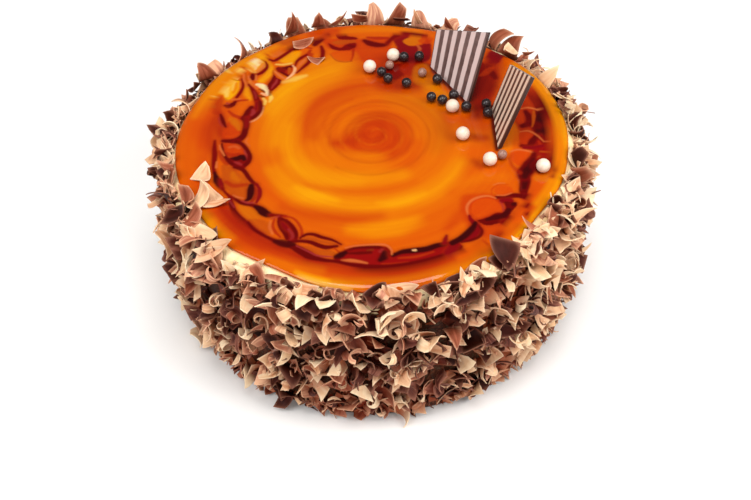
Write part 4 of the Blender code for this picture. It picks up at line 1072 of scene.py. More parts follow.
def bent_sheet(s, t, shape):
    """Points of curls: s runs along from 0 to 1 and t across from -1 to 1."""
    start, end = ROOT_ASKEW * shape["root_cut"] * t, 1 + TIP_ASKEW * shape["tip_cut"] * t
    along = start + (end - start) * s
    turn = shape["bend"] * ((1 - shape["tighter"]) * along + shape["tighter"] * along ** 2)
    step = np.diff(along, axis=1, prepend=0)
    middle_turn = turn - 0.5 * np.diff(turn, axis=1, prepend=0)
    x = np.cumsum(step * np.cos(middle_turn), axis=1) * shape["length"]
    z = np.cumsum(step * np.sin(middle_turn), axis=1) * shape["length"]
    swell = 1 - shape["taper"] * s ** TAPER_POWER
    ragged = sum((depth * np.sin(count * s + often * shape["phase"]) for depth, count, often in RAGGED), 1)
    across = 0.5 * t * shape["width"] * swell * ragged
    cup = LEAST_CUP + shape["cup"] / shape["width"]
    side, lift = np.sin(across * cup) / cup, (1 - np.cos(across * cup)) / cup
    twist = shape["twist"] * (s - UNTWISTED)
    side, lift = side * np.cos(twist) - lift * np.sin(twist), side * np.sin(twist) + lift * np.cos(twist)
    return np.stack([x - lift * np.sin(turn), side, z + lift * np.cos(turn)], -1)


print("faces of one fine curl", len(sheet_faces(12, 5)))

# %% [markdown]
# ## Chocolate shavings: the larger ones
#
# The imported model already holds 196 broad shavings round the side and the rim, fused to the
# cake. The same rule and the same random order put them back in the same places here, with
# many more points so that their curves are smooth.

# %% The larger shavings' rule
SIDE_COUNT, RIM_COUNT, SHAVING_SEED = 160, 36, 33
# ranges of length, width, bend, taper, skew and twist
SHAPE_RANGES = ((0.0140, 0.0200), (0.0095, 0.0135), (1.2, 3.4), (0.35, 0.85), (-0.35, 0.35), (-0.45, 0.45))
SPINS, STANDS, ROLLS = (0, 2 * math.pi), (-0.95, 0.95), (-0.6, 0.6)
# at the rim the pointed end stands up and leans out
RIM_SWAYS, RIM_LEANS, RIM_ROLLS = (0.5 * math.pi - 0.5, 0.5 * math.pi + 0.5), (-0.2, -0.9), (-0.7, 0.7)
ROOT_RADIUS, RIM_ROOT_RADIUS, OUTER_RADIUS = 0.1055, 0.1015, 0.1185
LOWEST, FIRST_ROW, LAST_ROW = 0.0006, 0.0050, 0.0840
RIM_ROW, RIM_JITTER, RIM_SHIFTS = 0.0920, 0.0030, (-0.4, 0.4)
HIGHEST_TIP, RIM_CLEARANCE, MOST_SLIDE = 0.1020, 0.0010, 0.0050
GOLDEN_ANGLE = math.pi * (3 - math.sqrt(5))
CORE_THICKNESS = 0.0009
Shaving = namedtuple("Shaving", "length width bend taper skew twist")


def shaving_points(s, t, shape):
    """Middle surface of a larger shaving: s and t both run from -1 to 1."""
    half_width = 0.5 * shape.width * (1 - shape.taper * (0.5 + 0.5 * s) ** 2)
    radius = shape.length / shape.bend
    turn = 0.5 * shape.bend * (s + shape.skew * t)
    across, twist, rise = t * half_width, shape.twist * s, radius * (1 - np.cos(turn))
    return np.stack([radius * np.sin(turn), across * np.cos(twist) - rise * np.sin(twist),
                     across * np.sin(twist) + rise * np.cos(twist)], -1)


def wall_frames(angles):
    """Stack of rotations whose Z points out of the wall at these angles, with Y up."""
    c, s, zero, one = np.cos(angles), np.sin(angles), 0 * angles, 0 * angles + 1
    return np.stack([-s, zero, c, c, zero, s, zero, one, zero], -1).reshape(-1, 3, 3)


def wall_frame(angle):
    """The same for one angle, as a Blender matrix."""
    return Matrix(wall_frames(angle)[0]).to_4x4()


def rim_overlap(points):
    """How far points near the top reach in over the glaze's edge."""
    high = points[points[:, 2] > BODY_HEIGHT - SHOULDER_RADIUS]
    if not len(high):
        return 0.0
    edge = GLAZE_RADIUS + glaze_wave(np.arctan2(high[:, 1], high[:, 0])) + RIM_CLEARANCE
    return max(0.0, float((edge - np.hypot(high[:, 0], high[:, 1])).max()))


def placed_on_wall(shape, turn, angle, height, root_radius):
    """World matrix of a shaving pressed into the wall, or None where it would lie over the glaze."""
    s, t = np.meshgrid(np.linspace(-1, 1, 4), (-1.0, 1.0), indexing="ij")
    middle = shaving_points(s, t, shape).reshape(-1, 3)
    outward = np.array((math.cos(angle), math.sin(angle), 0))
    rotation = wall_frame(angle) @ turn
    points = middle @ np.array(rotation.to_3x3()).T
    reach = points @ outward
    out = min(root_radius - reach.min(), OUTER_RADIUS - reach.max() - CORE_THICKNESS)
    height = min(max(height, LOWEST - points[:, 2].min()), HIGHEST_TIP - points[:, 2].max())
    place = outward * out + (0, 0, height)
    slide = rim_overlap(points + place)
    if slide > MOST_SLIDE:
        return None
    return Matrix.Translation(place + outward * slide) @ rotation


# %% Place the larger shavings
def spin(rng, first, second, third):
    """Turned about Z, then Y, then X, each by a random angle from its range."""
    return (Matrix.Rotation(rng.uniform(*first), 4, "Z") @ Matrix.Rotation(rng.uniform(*second), 4, "Y")
            @ Matrix.Rotation(rng.uniform(*third), 4, "X"))


def larger_shavings():
    """Shape and matrix of each larger shaving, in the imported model's order."""
    rng = random.Random(SHAVING_SEED)
    spots = []
    for index in range(SIDE_COUNT):
        height = FIRST_ROW + (LAST_ROW - FIRST_ROW) * (index + 0.5) / SIDE_COUNT
        turn = spin(rng, SPINS, STANDS, ROLLS)
        spots.append((index * GOLDEN_ANGLE, height, ROOT_RADIUS, turn))
    for index in range(RIM_COUNT):
        angle = 2 * math.pi * (index + rng.uniform(*RIM_SHIFTS)) / RIM_COUNT
        height = RIM_ROW + rng.uniform(-RIM_JITTER, RIM_JITTER)
        spots.append((angle, height, RIM_ROOT_RADIUS, spin(rng, RIM_SWAYS, RIM_LEANS, RIM_ROLLS)))
    placed = []
    for angle, height, root_radius, turn in spots:
        shape = Shaving(*(rng.uniform(*limits) for limits in SHAPE_RANGES))
        matrix = placed_on_wall(shape, turn, angle, height, root_radius)
        if matrix:
            placed.append((shape, matrix))
    return placed


def moved(points, matrix):
    """Points taken through a 4x4 matrix."""
    matrix = np.array(matrix)
    return points @ matrix[:3, :3].T + matrix[:3, 3]


LARGE_STEPS, LARGE_CROSS = 14, 6
large = larger_shavings()
s, t = np.meshgrid(np.linspace(-1, 1, LARGE_STEPS), np.linspace(-1, 1, LARGE_CROSS), indexing="ij")
large_grids = np.stack([moved(shaving_points(s, t, shape), matrix) for shape, matrix in large])
print("larger shavings", len(large_grids))

# %% [markdown]
# ## Chocolate shavings: the smaller ones
#
# Between and over the larger ones lie about three thousand smaller petals, rolls, ribbons
# and splinters in loose layers. Each family has its own ranges of sizes. Every one starts
# at the cream or just outside it, stays off the glaze and never reaches under the cake.

# %% Families of smaller shavings
# ranges in millimetres and radians: length, width, bend, how much tighter the curl gets, cup, twist
FAMILIES = {
    "chip": ((8, 16), (6.5, 12.0), (0.4, 2.2), (0.0, 0.6), (0.0, 1.0), (-0.8, 0.8)),
    "roll": ((10, 17), (4.0, 8.0), (3.6, 7.0), (0.3, 0.7), (0.0, 0.3), (-0.4, 0.4)),
    "ribbon": ((11, 19), (2.2, 4.4), (1.0, 4.0), (0.0, 0.5), (0.0, 0.8), (-1.5, 1.5)),
    "splinter": ((4, 9), (2.2, 5.0), (0.2, 1.2), (0.0, 0.3), (0.0, 0.6), (-0.5, 0.5)),
}
FAMILY_SHARES = (0.52, 0.15, 0.15, 0.18)
SMALL_TAPERS, CUTS, PHASES = (0.2, 0.97), (-1, 1), (0, 6.3)
SMALL_SEED = 12
SMALL_STEPS, SMALL_CROSS = 10, 4


def between(draw, count, low, high):
    """Column of random numbers, shaped to spread over grids."""
    return draw.uniform(low, high, (count, 1, 1))


def drawn_shapes(draw, count):
    """Sizes of smaller shavings, as columns."""
    family = draw.choice(len(FAMILIES), count, p=FAMILY_SHARES)
    ranges = np.array(list(FAMILIES.values()))[family]
    share = draw.uniform(0, 1, ranges.shape[:2])
    value = ranges[:, :, 0] + share * (ranges[:, :, 1] - ranges[:, :, 0])
    length, width, bend, tighter, cup, twist = value.T[:, :, None, None]
    return {"length": length * MM, "width": width * MM, "bend": bend, "tighter": tighter, "cup": cup,
            "twist": twist, "taper": between(draw, count, *SMALL_TAPERS),
            "root_cut": between(draw, count, *CUTS), "tip_cut": between(draw, count, *CUTS),
            "phase": between(draw, count, *PHASES)}


def turns_about(axis, angles):
    """Stack of rotation matrices about one axis."""
    c, s, one, zero = np.cos(angles), np.sin(angles), np.ones_like(angles), np.zeros_like(angles)
    rows = {"X": (one, zero, zero, zero, c, -s, zero, s, c),
            "Y": (c, zero, s, zero, one, zero, -s, zero, c),
            "Z": (c, -s, zero, s, c, zero, zero, zero, one)}[axis]
    return np.stack(rows, -1).reshape(-1, 3, 3)


# %% Layers of smaller shavings
# how many, heights, root radii, how far they stand, greatest reach; lengths in millimetres
LAYERS = (
    (700, (1, 90), (104.2, 105.6), 0.45, 110.5),
    (820, (2, 91), (105.5, 108.0), 0.95, 115.0),
    (600, (3, 90), (107.5, 111.0), 1.30, 119.0),
    (170, (1, 13), (104.4, 106.5), 0.80, 112.0),
)
# one more layer, drawn last, lies flat on the cream under all the others
UNDER_LAYER = (560, (0, 88), (103.9, 104.6), 0.25, 107.5)
# highest tips in front and at the back, and between which sines of the direction one turns to the other
TOP_LIMIT, BACK_TOP_LIMIT, BACK_SINES = 0.0985, 0.0905, (0.15, 0.5)
FLOOR_LIMIT = 0.0004
FOOT_REACH, FOOT_SPREAD = 0.1095, 0.28
OVERHANG, SMALL_CLEARANCE, SMALL_SLIDE = 0.0035, 0.5 * RIM_CLEARANCE, 1.6 * MOST_SLIDE


def top_limit(angles):
    """Highest tip of a smaller shaving: at the back they end below the glaze."""
    behind = smooth_step(*BACK_SINES, np.sin(angles))
    return TOP_LIMIT + (BACK_TOP_LIMIT - TOP_LIMIT) * behind


def turned_curls(draw, count, stand, tilt):
    """Curls of random shapes round the cake, each turned at random and tilted up by its own angle."""
    s = np.linspace(0, 1, SMALL_STEPS)[None, :, None]
    t = np.linspace(-1, 1, SMALL_CROSS)[None, None, :]
    grids = bent_sheet(s, t, drawn_shapes(draw, count))
    grids -= grids.mean(axis=(1, 2), keepdims=True)
    angles = (np.arange(count) + draw.uniform(-0.5, 0.5, count)) * GOLDEN_ANGLE
    turn = (wall_frames(angles) @ turns_about("X", -tilt)
            @ turns_about("Z", draw.uniform(0, 2 * math.pi, count))
            @ turns_about("Y", draw.uniform(-stand, stand, count))
            @ turns_about("X", draw.uniform(-stand, stand, count)))
    outward = np.stack([np.cos(angles), np.sin(angles), 0 * angles], -1)
    return np.einsum("nij,nstj->nsti", turn, grids), angles, outward


def layer_grids(draw, count, heights, roots, stand, reach_limit):
    """Middle surfaces of one layer of smaller shavings on the wall."""
    grids, angles, outward = turned_curls(draw, count, stand, np.zeros(count))
    reach = np.einsum("nstj,nj->nst", grids, outward).reshape(count, -1)
    root = draw.uniform(*roots, count) * MM
    height = draw.uniform(*heights, count) * MM
    z = grids[..., 2].reshape(count, -1)
    height = np.minimum(np.maximum(height, FLOOR_LIMIT - z.min(1)), top_limit(angles) - z.max(1))
    limit = np.minimum(reach_limit * MM, FOOT_REACH + FOOT_SPREAD * (height + z.min(1)))
    out = np.minimum(root - reach.min(1), limit - reach.max(1))
    place = outward * out[:, None]
    place[:, 2] = height
    grids += place[:, None, None, :]
    return kept_off_glaze(grids, outward)


def kept_off_glaze(grids, outward):
    """Slides shavings out of the glaze, over which they may hang a little, and drops those too far in."""
    flat = grids.reshape(len(grids), -1, 3)
    edge = GLAZE_RADIUS + glaze_wave(np.arctan2(flat[..., 1], flat[..., 0])) + SMALL_CLEARANCE
    edge -= np.where(flat[..., 2] > GLAZE_TOP + UNDER_GAP, OVERHANG, 0)
    inside = np.where(flat[..., 2] > BODY_HEIGHT - SHOULDER_RADIUS,
                      edge - np.hypot(flat[..., 0], flat[..., 1]), 0)
    slide = np.maximum(inside.max(1), 0)
    grids += (outward * slide[:, None])[:, None, None, :]
    return grids[slide < SMALL_SLIDE]


draw = np.random.default_rng(SMALL_SEED)
wall_grids = np.concatenate([layer_grids(draw, *layer) for layer in LAYERS])
print("smaller shavings on the wall", len(wall_grids))

# %% Smaller shavings on the shoulder
SHOULDER_COUNT = 420
SLOPES, TILT_SPREAD, SHOULDER_STAND = (0.15, 1.15), 0.45, 0.55
LIFTS = (0.0012, 0.0042)
# directions in degrees where the bare cream shows under the glaze, and the steepest slope covered there
BARE_BANDS, BARE_SLOPE = ((-124, -103), (-12, 4)), 0.92


def shoulder_grids(draw, count):
    """Curls that lie on the cream's round shoulder, up against the glaze's edge."""
    slope = draw.uniform(*SLOPES, count)
    tilt = slope + draw.uniform(-TILT_SPREAD, TILT_SPREAD, count)
    grids, angles, outward = turned_curls(draw, count, SHOULDER_STAND, tilt)
    lift = SHOULDER_RADIUS + draw.uniform(*LIFTS, count)
    place = outward * (CREAM_RADIUS - SHOULDER_RADIUS + lift * np.cos(slope))[:, None]
    height = BODY_HEIGHT - SHOULDER_RADIUS + lift * np.sin(slope)
    place[:, 2] = np.minimum(height, top_limit(angles) - grids[..., 2].reshape(count, -1).max(1))
    grids += place[:, None, None, :]
    way = np.degrees(np.arctan2(np.sin(angles), np.cos(angles)))
    bare = sum((way > start) & (way < end) for start, end in BARE_BANDS).astype(bool)
    kept = ~bare | (slope < BARE_SLOPE)
    return kept_off_glaze(grids[kept], outward[kept])


small_grids = np.concatenate([wall_grids, shoulder_grids(draw, SHOULDER_COUNT),
                              layer_grids(draw, *UNDER_LAYER)])
print("smaller shavings", len(small_grids))

# %% [markdown]
# ## Chocolate shavings: the ones that catch the eye
#
# A few shavings lie on the glaze, and some broad petals and thin spikes stand up at its edge.
# The eye finds these first, so each has its own row: where its middle is, which way its face
# looks, how far the face is tilted up, how it is turned in its own plane, and its form.

# %% Shavings in places of their own
# by kind: place in millimetres, facing, tilt and turn in degrees, length, width, bend, taper
PETALS = {"cream": (
    ((-89, -61, 91), -145, 22, -60, 15, 11, 1.2, 0.55),
    ((-81, -62, 95.2), -142, 60, 22, 15, 8, 0.8, 0.7),
    ((-75, -71, 94.6), -136, 48, 50, 20, 9.5, 1, 0.95),
    ((-84.4, -40.5, 97), -165, 62, 120, 17, 10, 2.2, 0.4),
    ((-76, -43, 96.6), -150, 76, 60, 12, 5, 0.6, 0.95),
    ((-103, -8, 94.2), -176, 45, 80, 11, 5, 1.2, 0.8),
    ((-104, -27, 92), -165, 25, 150, 14, 5, 1.8, 0.85),
    ((75, -74, 93), -60, 50, 25, 16, 10, 0.9, 0.8),
    ((103, -27, 90.5), -15, 30, 100, 14, 9, 1.6, 0.6),
    ((99, -56, 89), -60, 20, 5, 15, 6, 0.8, 0.95),
    ((29, -98.5, 91.5), -73, 12, 90, 15, 6, 5, 0.2),
    ((10, -101, 92.5), -85, 45, 10, 15, 8, 1.2, 0.75),
    ((-33.2, -98.6, 93.4), -108, 50, 4, 11, 6, 0.4, 0.1),
    ((-44.6, -98.4, 91), -115, 42, -8, 10.5, 8, 0.8, 0.15),
    ((29.5, 98, 97.2), 74, 0, 68, 10, 3.5, 0.5, 0.7),
    ((78, 64, 96.6), 42, 62, 105, 12, 9, 0.9, 0.85),
    ((-102, 28, 92.5), 168, 30, 80, 13, 9, 1, 0.7),
), "milk": (
    ((-91, -38, 96.4), -156, 55, 165, 14, 9, 1.7, 0.5),
    ((-97, -45, 92.5), -155, 35, 175, 13, 8, 0.9, 0.6),
    ((-87, -52.5, 96.8), -148, 58, 100, 13, 10, 1.3, 0.5),
    ((-101, -18, 94.2), -170, 35, 200, 12, 8, 0.7, 0.6),
    ((74, -69.5, 96), -44, 60, 105, 14, 5, 0.8, 0.95),
    ((85, -62, 92.5), -37, 40, -70, 14, 11, 1.6, 0.8),
    ((45, -91, 93), -64, 45, 30, 13, 8, 1.4, 0.7),
    ((-55.8, -87.4, 91.2), -124, 40, -35, 13, 9, 0.8, 0.7),
    ((-41.5, 95, 98.5), 120, 8, 96, 15, 8, 0.7, 0.95),
    ((-27, 99, 97), 106, 10, 90, 10, 8, 1, 0.6),
    ((-15, 100.5, 96.6), 104, 5, 140, 12, 3, 0.7, 0.95),
    ((-3, 101.5, 96.2), 92, 8, 10, 9, 6, 0.4, 0.2),
    ((46.5, 91, 96.4), 62, 10, 70, 9, 6, 0.6, 0.85),
    ((88, 60, 97.5), 34, 10, 140, 12, 2.4, 0.4, 0.9),
    ((95, 50, 94), 24, 40, 10, 12, 4, 0.5, 0.4),
    ((-106, 5, 93), 178, 20, 110, 13, 8, 1.6, 0.7),
), "dark": (
    ((-95.6, -48, 95.6), -153, 50, 60, 14, 9, 1.2, 0.6),
    ((58.6, -87.6, 98.4), -91, 74, -91, 15.5, 14.5, 0.4, 0.93),
    ((85, -54, 95), -32, 45, 5, 14, 6, 4.4, 0.3),
    ((96.5, -38.5, 92), -22, 35, 60, 16, 8, 3.8, 0.4),
    ((36, -96, 92.5), -70, 50, 170, 14, 7, 1.4, 0.7),
    ((-2, -101.5, 92.5), -92, 40, 200, 13, 8, 1.6, 0.6),
    ((-29, -103.2, 91), -106, 42, 78, 13, 9, 2.4, 0.4),
    ((-22.8, -104.4, 90.4), -101, 36, 120, 13, 9, 3, 0.5),
    ((20, 100, 95.4), 80, 10, 0, 10, 2.4, 0.4, 0.5),
    ((-99, 40, 93), 162, 30, 100, 11, 9, 1.2, 0.6),
    ((-94, 51, 92.5), 152, 35, 60, 11, 8, 1.4, 0.7),
)}
FALLEN_BEND, FALLEN_TAPER, FALLEN_SKEW, FALLEN_TWIST, FALLEN_SINK = 0.9, 0.75, 0.2, 0.2, 0.0002
# by kind: place on the glaze in millimetres, turn in degrees, length, width
FALLEN = {
    "cream": (((-84.8, -20.5), 75, 12.5, 10.5), ((-80.0, -35.0), 115, 15.0, 8.0)),
    "milk": (((-35.6, 81.8), 20, 12.0, 9.5), ((-28.8, 66.7), 150, 8.5, 6.0)),
    "dark": (),
}


def petal_grid(place, facing, tilt, turn, length, width, bend, taper):
    """Middle surface of one petal that stands in a place of its own."""
    shape = Shaving(length * MM, width * MM, bend, taper, FALLEN_SKEW, FALLEN_TWIST)
    rotation = (wall_frame(math.radians(facing)) @ Matrix.Rotation(-math.radians(tilt), 4, "X")
                @ Matrix.Rotation(math.radians(turn), 4, "Z"))
    return moved(shaving_points(s, t, shape), Matrix.Translation(Vector(place) * MM) @ rotation)


def fallen_grid(place, turn, length, width):
    """Middle surface of a shaving on the glaze, like a shallow boat that rests on its belly."""
    shape = Shaving(length * MM, width * MM, FALLEN_BEND, FALLEN_TAPER, FALLEN_SKEW, FALLEN_TWIST)
    points = shaving_points(s, t, shape)
    height = GLAZE_TOP - FALLEN_SINK - points[..., 2].min()
    spot = Vector((place[0] * MM, place[1] * MM, height))
    return moved(points, Matrix.Translation(spot) @ Matrix.Rotation(math.radians(turn), 4, "Z"))


placed_grids = {kind: [petal_grid(*row) for row in PETALS[kind]]
                + [fallen_grid(*row) for row in FALLEN[kind]] for kind in PETALS}
print("shavings in places of their own", {kind: len(grids) for kind, grids in placed_grids.items()})

# %% [markdown]
# ## Chocolate shavings: three kinds
#
# The mix is of cream-white, pinkish milk and dark chocolate. Each kind is one mesh with its
# own finish. Every shaving keeps a random tone, its own place along and across for the
# marbling, how near a point is to its edge, for the painted light that a thin edge lets
# through, and how deep in the pile it lies, for painted shade.

# %% Share the shavings out among the kinds
KIND_SEED = 5
# shavings in places of their own get only the darker tones: painted shade, as they face the lights squarely
ALL_TONES, PLACED_SHADED_TONES = (0, 1), (0.05, 0.45)
# cream ones among those that aren't dark, how many more at the right, which partly paints light on that
# side,
# and where the back rim has none: ranges in metres back and up
LARGE_CREAM, SMALL_CREAM, RIGHT_CREAM_AND_LIGHT = 0.45, 0.64, 0.20
BACK_RIM, BACK_HEIGHTS = (0.055, 0.08), (0.088, 0.094)
# dark ones everywhere, and how many more in a patch in front: direction and spread in degrees, height
# and spread in metres
DARK_SHARE, DARK_MORE, DARK_PATCH = 0.24, 0.30, (-78, 24, 0.045, 0.028)
# radius and height in millimetres where a shaving lies deep in the pile, and where it lies outside, for
# painted shade
DEEP, OUTSIDE = (105.5, 86.0), (114.0, 92.5)


def kind_columns(grids, draw, cream_share):
    """For each shaving, which kind of chocolate it is: more dark ones in the middle of the front, and more
    cream ones at the right, partly as painted light on that side.
    """
    x, y, z = grids.mean(axis=(1, 2)).T
    cream_share = cream_share + RIGHT_CREAM_AND_LIGHT * np.clip(x / CREAM_RADIUS, 0, 1)
    cream_share *= 1 - smooth_step(*BACK_RIM, y) * smooth_step(*BACK_HEIGHTS, z)
    way, way_spread, height, height_spread = DARK_PATCH
    aside = (np.degrees(np.arctan2(y, x)) - way) / way_spread
    dark = DARK_SHARE + DARK_MORE * np.exp(-aside ** 2 - ((z - height) / height_spread) ** 2)
    value = draw.uniform(0, 1, len(grids))
    cream = cream_share * (1 - dark)
    return np.where(value < dark, 2, np.where(value < dark + cream, 0, 1))


# rows that a nearly straight small shaving keeps, and how straight it has to be
FEW_ROWS, STRAIGHT = (0, 2, 4, 5, 7, 9), 0.88


def sparser(grids):
    """Small shavings with only the points that they need: three across, and fewer rows where straight."""
    inner = 0.5 * (grids[:, :, 1] + grids[:, :, 2])
    grids = np.stack([grids[:, :, 0], inner, grids[:, :, 3]], axis=2)
    way = np.linalg.norm(np.diff(inner, axis=1), axis=-1).sum(1)
    straight = np.linalg.norm(inner[:, -1] - inner[:, 0], axis=-1) > STRAIGHT * way
    return [grids[~straight], grids[straight][:, FEW_ROWS]]


def openness(points):
    """From 0 for a point deep in the pile to 1 for one at its outside or on top, for painted shade."""
    away = smooth_step(DEEP[0], OUTSIDE[0], np.hypot(points[:, 0], points[:, 1]))
    return np.maximum(away, smooth_step(DEEP[1], OUTSIDE[1], points[:, 2]))


# range of a shaving's thickness, its length and width for the marbling, and how far apart those lie
THICK_SHARES = (0.7, 1.2)
LAY_LENGTH, LAY_WIDTH, LAY_APART = 12, 7, 500


def gathered(groups, draw):
    """Points, faces and stored numbers of one kind, from groups of grids and their range of tones."""
    points, faces, numbers = [], [], {"edge": [], "tone": [], "lay": [], "open": []}
    first = 0
    for grids, tone_range in groups:
        count, steps, cross, _ = grids.shape
        solid, edge = thickened(grids, THICKNESS * draw.uniform(*THICK_SHARES, count))
        start = first + np.arange(count) * solid.shape[1]
        faces.append((sheet_faces(steps, cross)[None] + start[:, None, None]).reshape(-1, 4))
        points.append(solid.reshape(-1, 3))
        numbers["edge"].append(np.tile(edge, count))
        numbers["tone"].append(np.repeat(draw.uniform(*tone_range, count), solid.shape[1]))
        along, across = np.linspace(0, LAY_LENGTH, steps), np.linspace(0, LAY_WIDTH, cross)
        s, t = np.meshgrid(along, across, indexing="ij")
        lay = np.tile(np.stack([s, t, 0 * s], -1).reshape(-1, 3), (2, 1))
        numbers["lay"].append((lay[None] + draw.uniform(0, LAY_APART, (count, 1, 3))).reshape(-1, 3))
        numbers["open"].append(openness(points[-1] / MM))
        first += count * solid.shape[1]
    joined = {name: np.concatenate(parts) for name, parts in numbers.items()}
    return np.concatenate(points), np.concatenate(faces), joined


# %% Chocolate finish
# painted shade: deep in the pile, where little light reaches, every shaving is darkened and reddened
DEEP_SHADE = (0.38, 0.12, 0.07)
# marbling runs along a shaving, so its noise is squeezed that way; how far it moves the tone
MARBLE_SQUEEZE, MARBLE_DEPTH = (0.10, 0.45, 1.0), 1.5
# how close to the edge the painted light starts, where a thin shaving lets light through
LIGHT_EDGE_POWER = 9.0


def make_chocolate_finish(name, tones, edge_light_colour, edge_light_share):
    """Satin chocolate: a tone for each shaving, soft marbling along it, painted light at thin edges and
    painted shade deep in the pile.
    """
    finish, tree, shader = new_finish(name, 0.45, IOR=1.45, Specular_IOR_Level=0.09)
    squeeze = add_node(tree, "ShaderNodeMapping",
                       {"Vector": read(tree, "lay", "Vector"), "Scale": MARBLE_SQUEEZE})
    marble = add_node(tree, "ShaderNodeTexNoise",
                      {"Vector": squeeze.outputs[0], "Scale": 1.0, "Detail": 3.0, "Distortion": 0.6})
    colour = ramp(tree, waver(tree, marble.outputs["Fac"], MARBLE_DEPTH, read(tree, "tone")), tones)
    thin = number(tree, "POWER", read(tree, "edge"), LIGHT_EDGE_POWER)
    share = number(tree, "MULTIPLY", thin, edge_light_share)
    # painted light at the thin edges
    colour = blend_colours(tree, share, colour, (*edge_light_colour, 1))
    shaded = add_node(tree, "ShaderNodeVectorMath", {0: colour, 1: DEEP_SHADE}, operation="MULTIPLY")
    # painted shade: shavings deep in the pile take the darkened colour
    colour = blend_colours(tree, read(tree, "open"), shaded.outputs[0], colour)
    tree.links.new(colour, shader.inputs["Base Color"])
    scratch = use_group(tree, UNEVEN, {"Place": squeeze.outputs[0], "Size": 3.0, "Fine Size": 11.0})
    add_bump(tree, shader, scratch["Height"], distance=0.00025, strength=0.5)
    return finish


# tones from dark to light with their places, colour of the painted light at thin edges, its share, and slot
CHOCOLATES = {
    "cream": (((0.0, (0.57, 0.25, 0.12)), (0.2, (0.71, 0.40, 0.23)), (0.55, (0.82, 0.53, 0.30)),
               (1.0, (0.88, 0.67, 0.44))), (0.91, 0.71, 0.48), 0.5, "white_chocolate"),
    "milk": (((0.0, (0.16, 0.032, 0.013)), (0.4, (0.33, 0.092, 0.046)), (0.8, (0.50, 0.20, 0.12)),
              (1.0, (0.72, 0.39, 0.23))), (0.84, 0.48, 0.29), 0.55, "milk_chocolate"),
    "dark": (((0.0, (0.030, 0.005, 0.002)), (0.5, (0.058, 0.010, 0.006)), (0.85, (0.11, 0.029, 0.019)),
              (1.0, (0.24, 0.085, 0.055))), (0.38, 0.16, 0.10), 0.6, "dark_chocolate"),
}

# %% The three meshes of shavings
SHARP_ANGLE = math.radians(50)
kind_draw = np.random.default_rng(KIND_SEED)
large_kind = kind_columns(large_grids, kind_draw, LARGE_CREAM)
small_kind = kind_columns(small_grids, kind_draw, SMALL_CREAM)
for index, kind in enumerate(CHOCOLATES):
    tones, edge_light_colour, edge_light_share, slot = CHOCOLATES[kind]
    finish = make_chocolate_finish(f"{kind}_shaving", tones, edge_light_colour, edge_light_share)
    groups = [(grids, ALL_TONES) for grids in sparser(small_grids[small_kind == index])]
    groups += [(large_grids[large_kind == index], ALL_TONES), (np.stack(placed_grids[kind]), PLACED_SHADED_TONES)]
    points, faces, numbers = gathered(groups, kind_draw)
    piece = mesh_piece(f"shavings_{kind}", points, [faces], finish)
    for name, values in numbers.items():
        store(piece, name, values)
    piece.data.set_sharp_from_angle(angle=SHARP_ANGLE)
    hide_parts("cake", "glaze")
    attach(piece, "root")
    print(piece.name, "triangles", triangles(piece))

# %% [markdown]
# ## Striped plates
#
# Two thin tablets of dark chocolate printed with cream-white stripes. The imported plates
# have the right form, so they stay and only get a finish: stripes along the slanted sides,
# on the broad faces alone, with the plain dark chocolate showing at the thin edges.

# %% Plates
PLATE_LEAN = math.radians(20)
PLATE_THICKNESS = 0.0018
# white share of the spacing, how sharp and how wavy a stripe's edge is, and how deep the broad face goes
STRIPE_COUNT, WHITE_SHARE, STRIPE_SHARPNESS, STRIPE_WANDER = 6, 0.52, 14.0, 0.016
FACE_DEPTH = 0.00012
PLATE_EDGE = (0.045, 0.016, 0.011, 1)
Stripes = namedtuple("Stripes", "left_lean right_lean first spacing white dark")
# name, foot's start and end, and the stripes: lean of the plate's left and right side, start of
# the first stripe and spacing as shares of the way across, and the white and dark colours
PLATES = (
    ("striped_plate_1", (0.0342, 0.0565), (0.0519, 0.0238),
     Stripes(-0.2335, -0.0907, 0.017, 0.1715, (0.68, 0.54, 0.51, 1),
             ((0.35, (0.105, 0.062, 0.056)), (0.65, (0.165, 0.10, 0.09))))),
    ("striped_plate_2", (0.0643, 0.0200), (0.0637, -0.0130),
     Stripes(-0.218, -0.138, 0.022, 0.170, (0.83, 0.62, 0.47, 1),
             ((0.35, (0.070, 0.032, 0.021)), (0.65, (0.12, 0.058, 0.04))))),
)


def plate_frame(start, end):
    """World matrix of a plate: X along its foot, Y up its leaning face, Z through it."""
    along = (Vector((*end, 0)) - Vector((*start, 0))).normalized()
    back = Vector((-along.y, along.x, 0))
    up = math.cos(PLATE_LEAN) * UP + math.sin(PLATE_LEAN) * back
    middle = Vector((*start, GLAZE_TOP)) + back * 0.5 * PLATE_THICKNESS
    rotation = Matrix((along, up, along.cross(up))).transposed().to_4x4()
    return Matrix.Translation(middle) @ rotation


def in_frame(tree, matrix):
    """Socket with the point's place in a plate's own frame: along, up and through."""
    inverse = matrix.inverted()
    turn = add_node(tree, "ShaderNodeMapping", {
        "Vector": object_place(tree), "Rotation": inverse.to_euler("XYZ"),
        "Location": inverse.to_translation()})
    return turn.outputs[0]


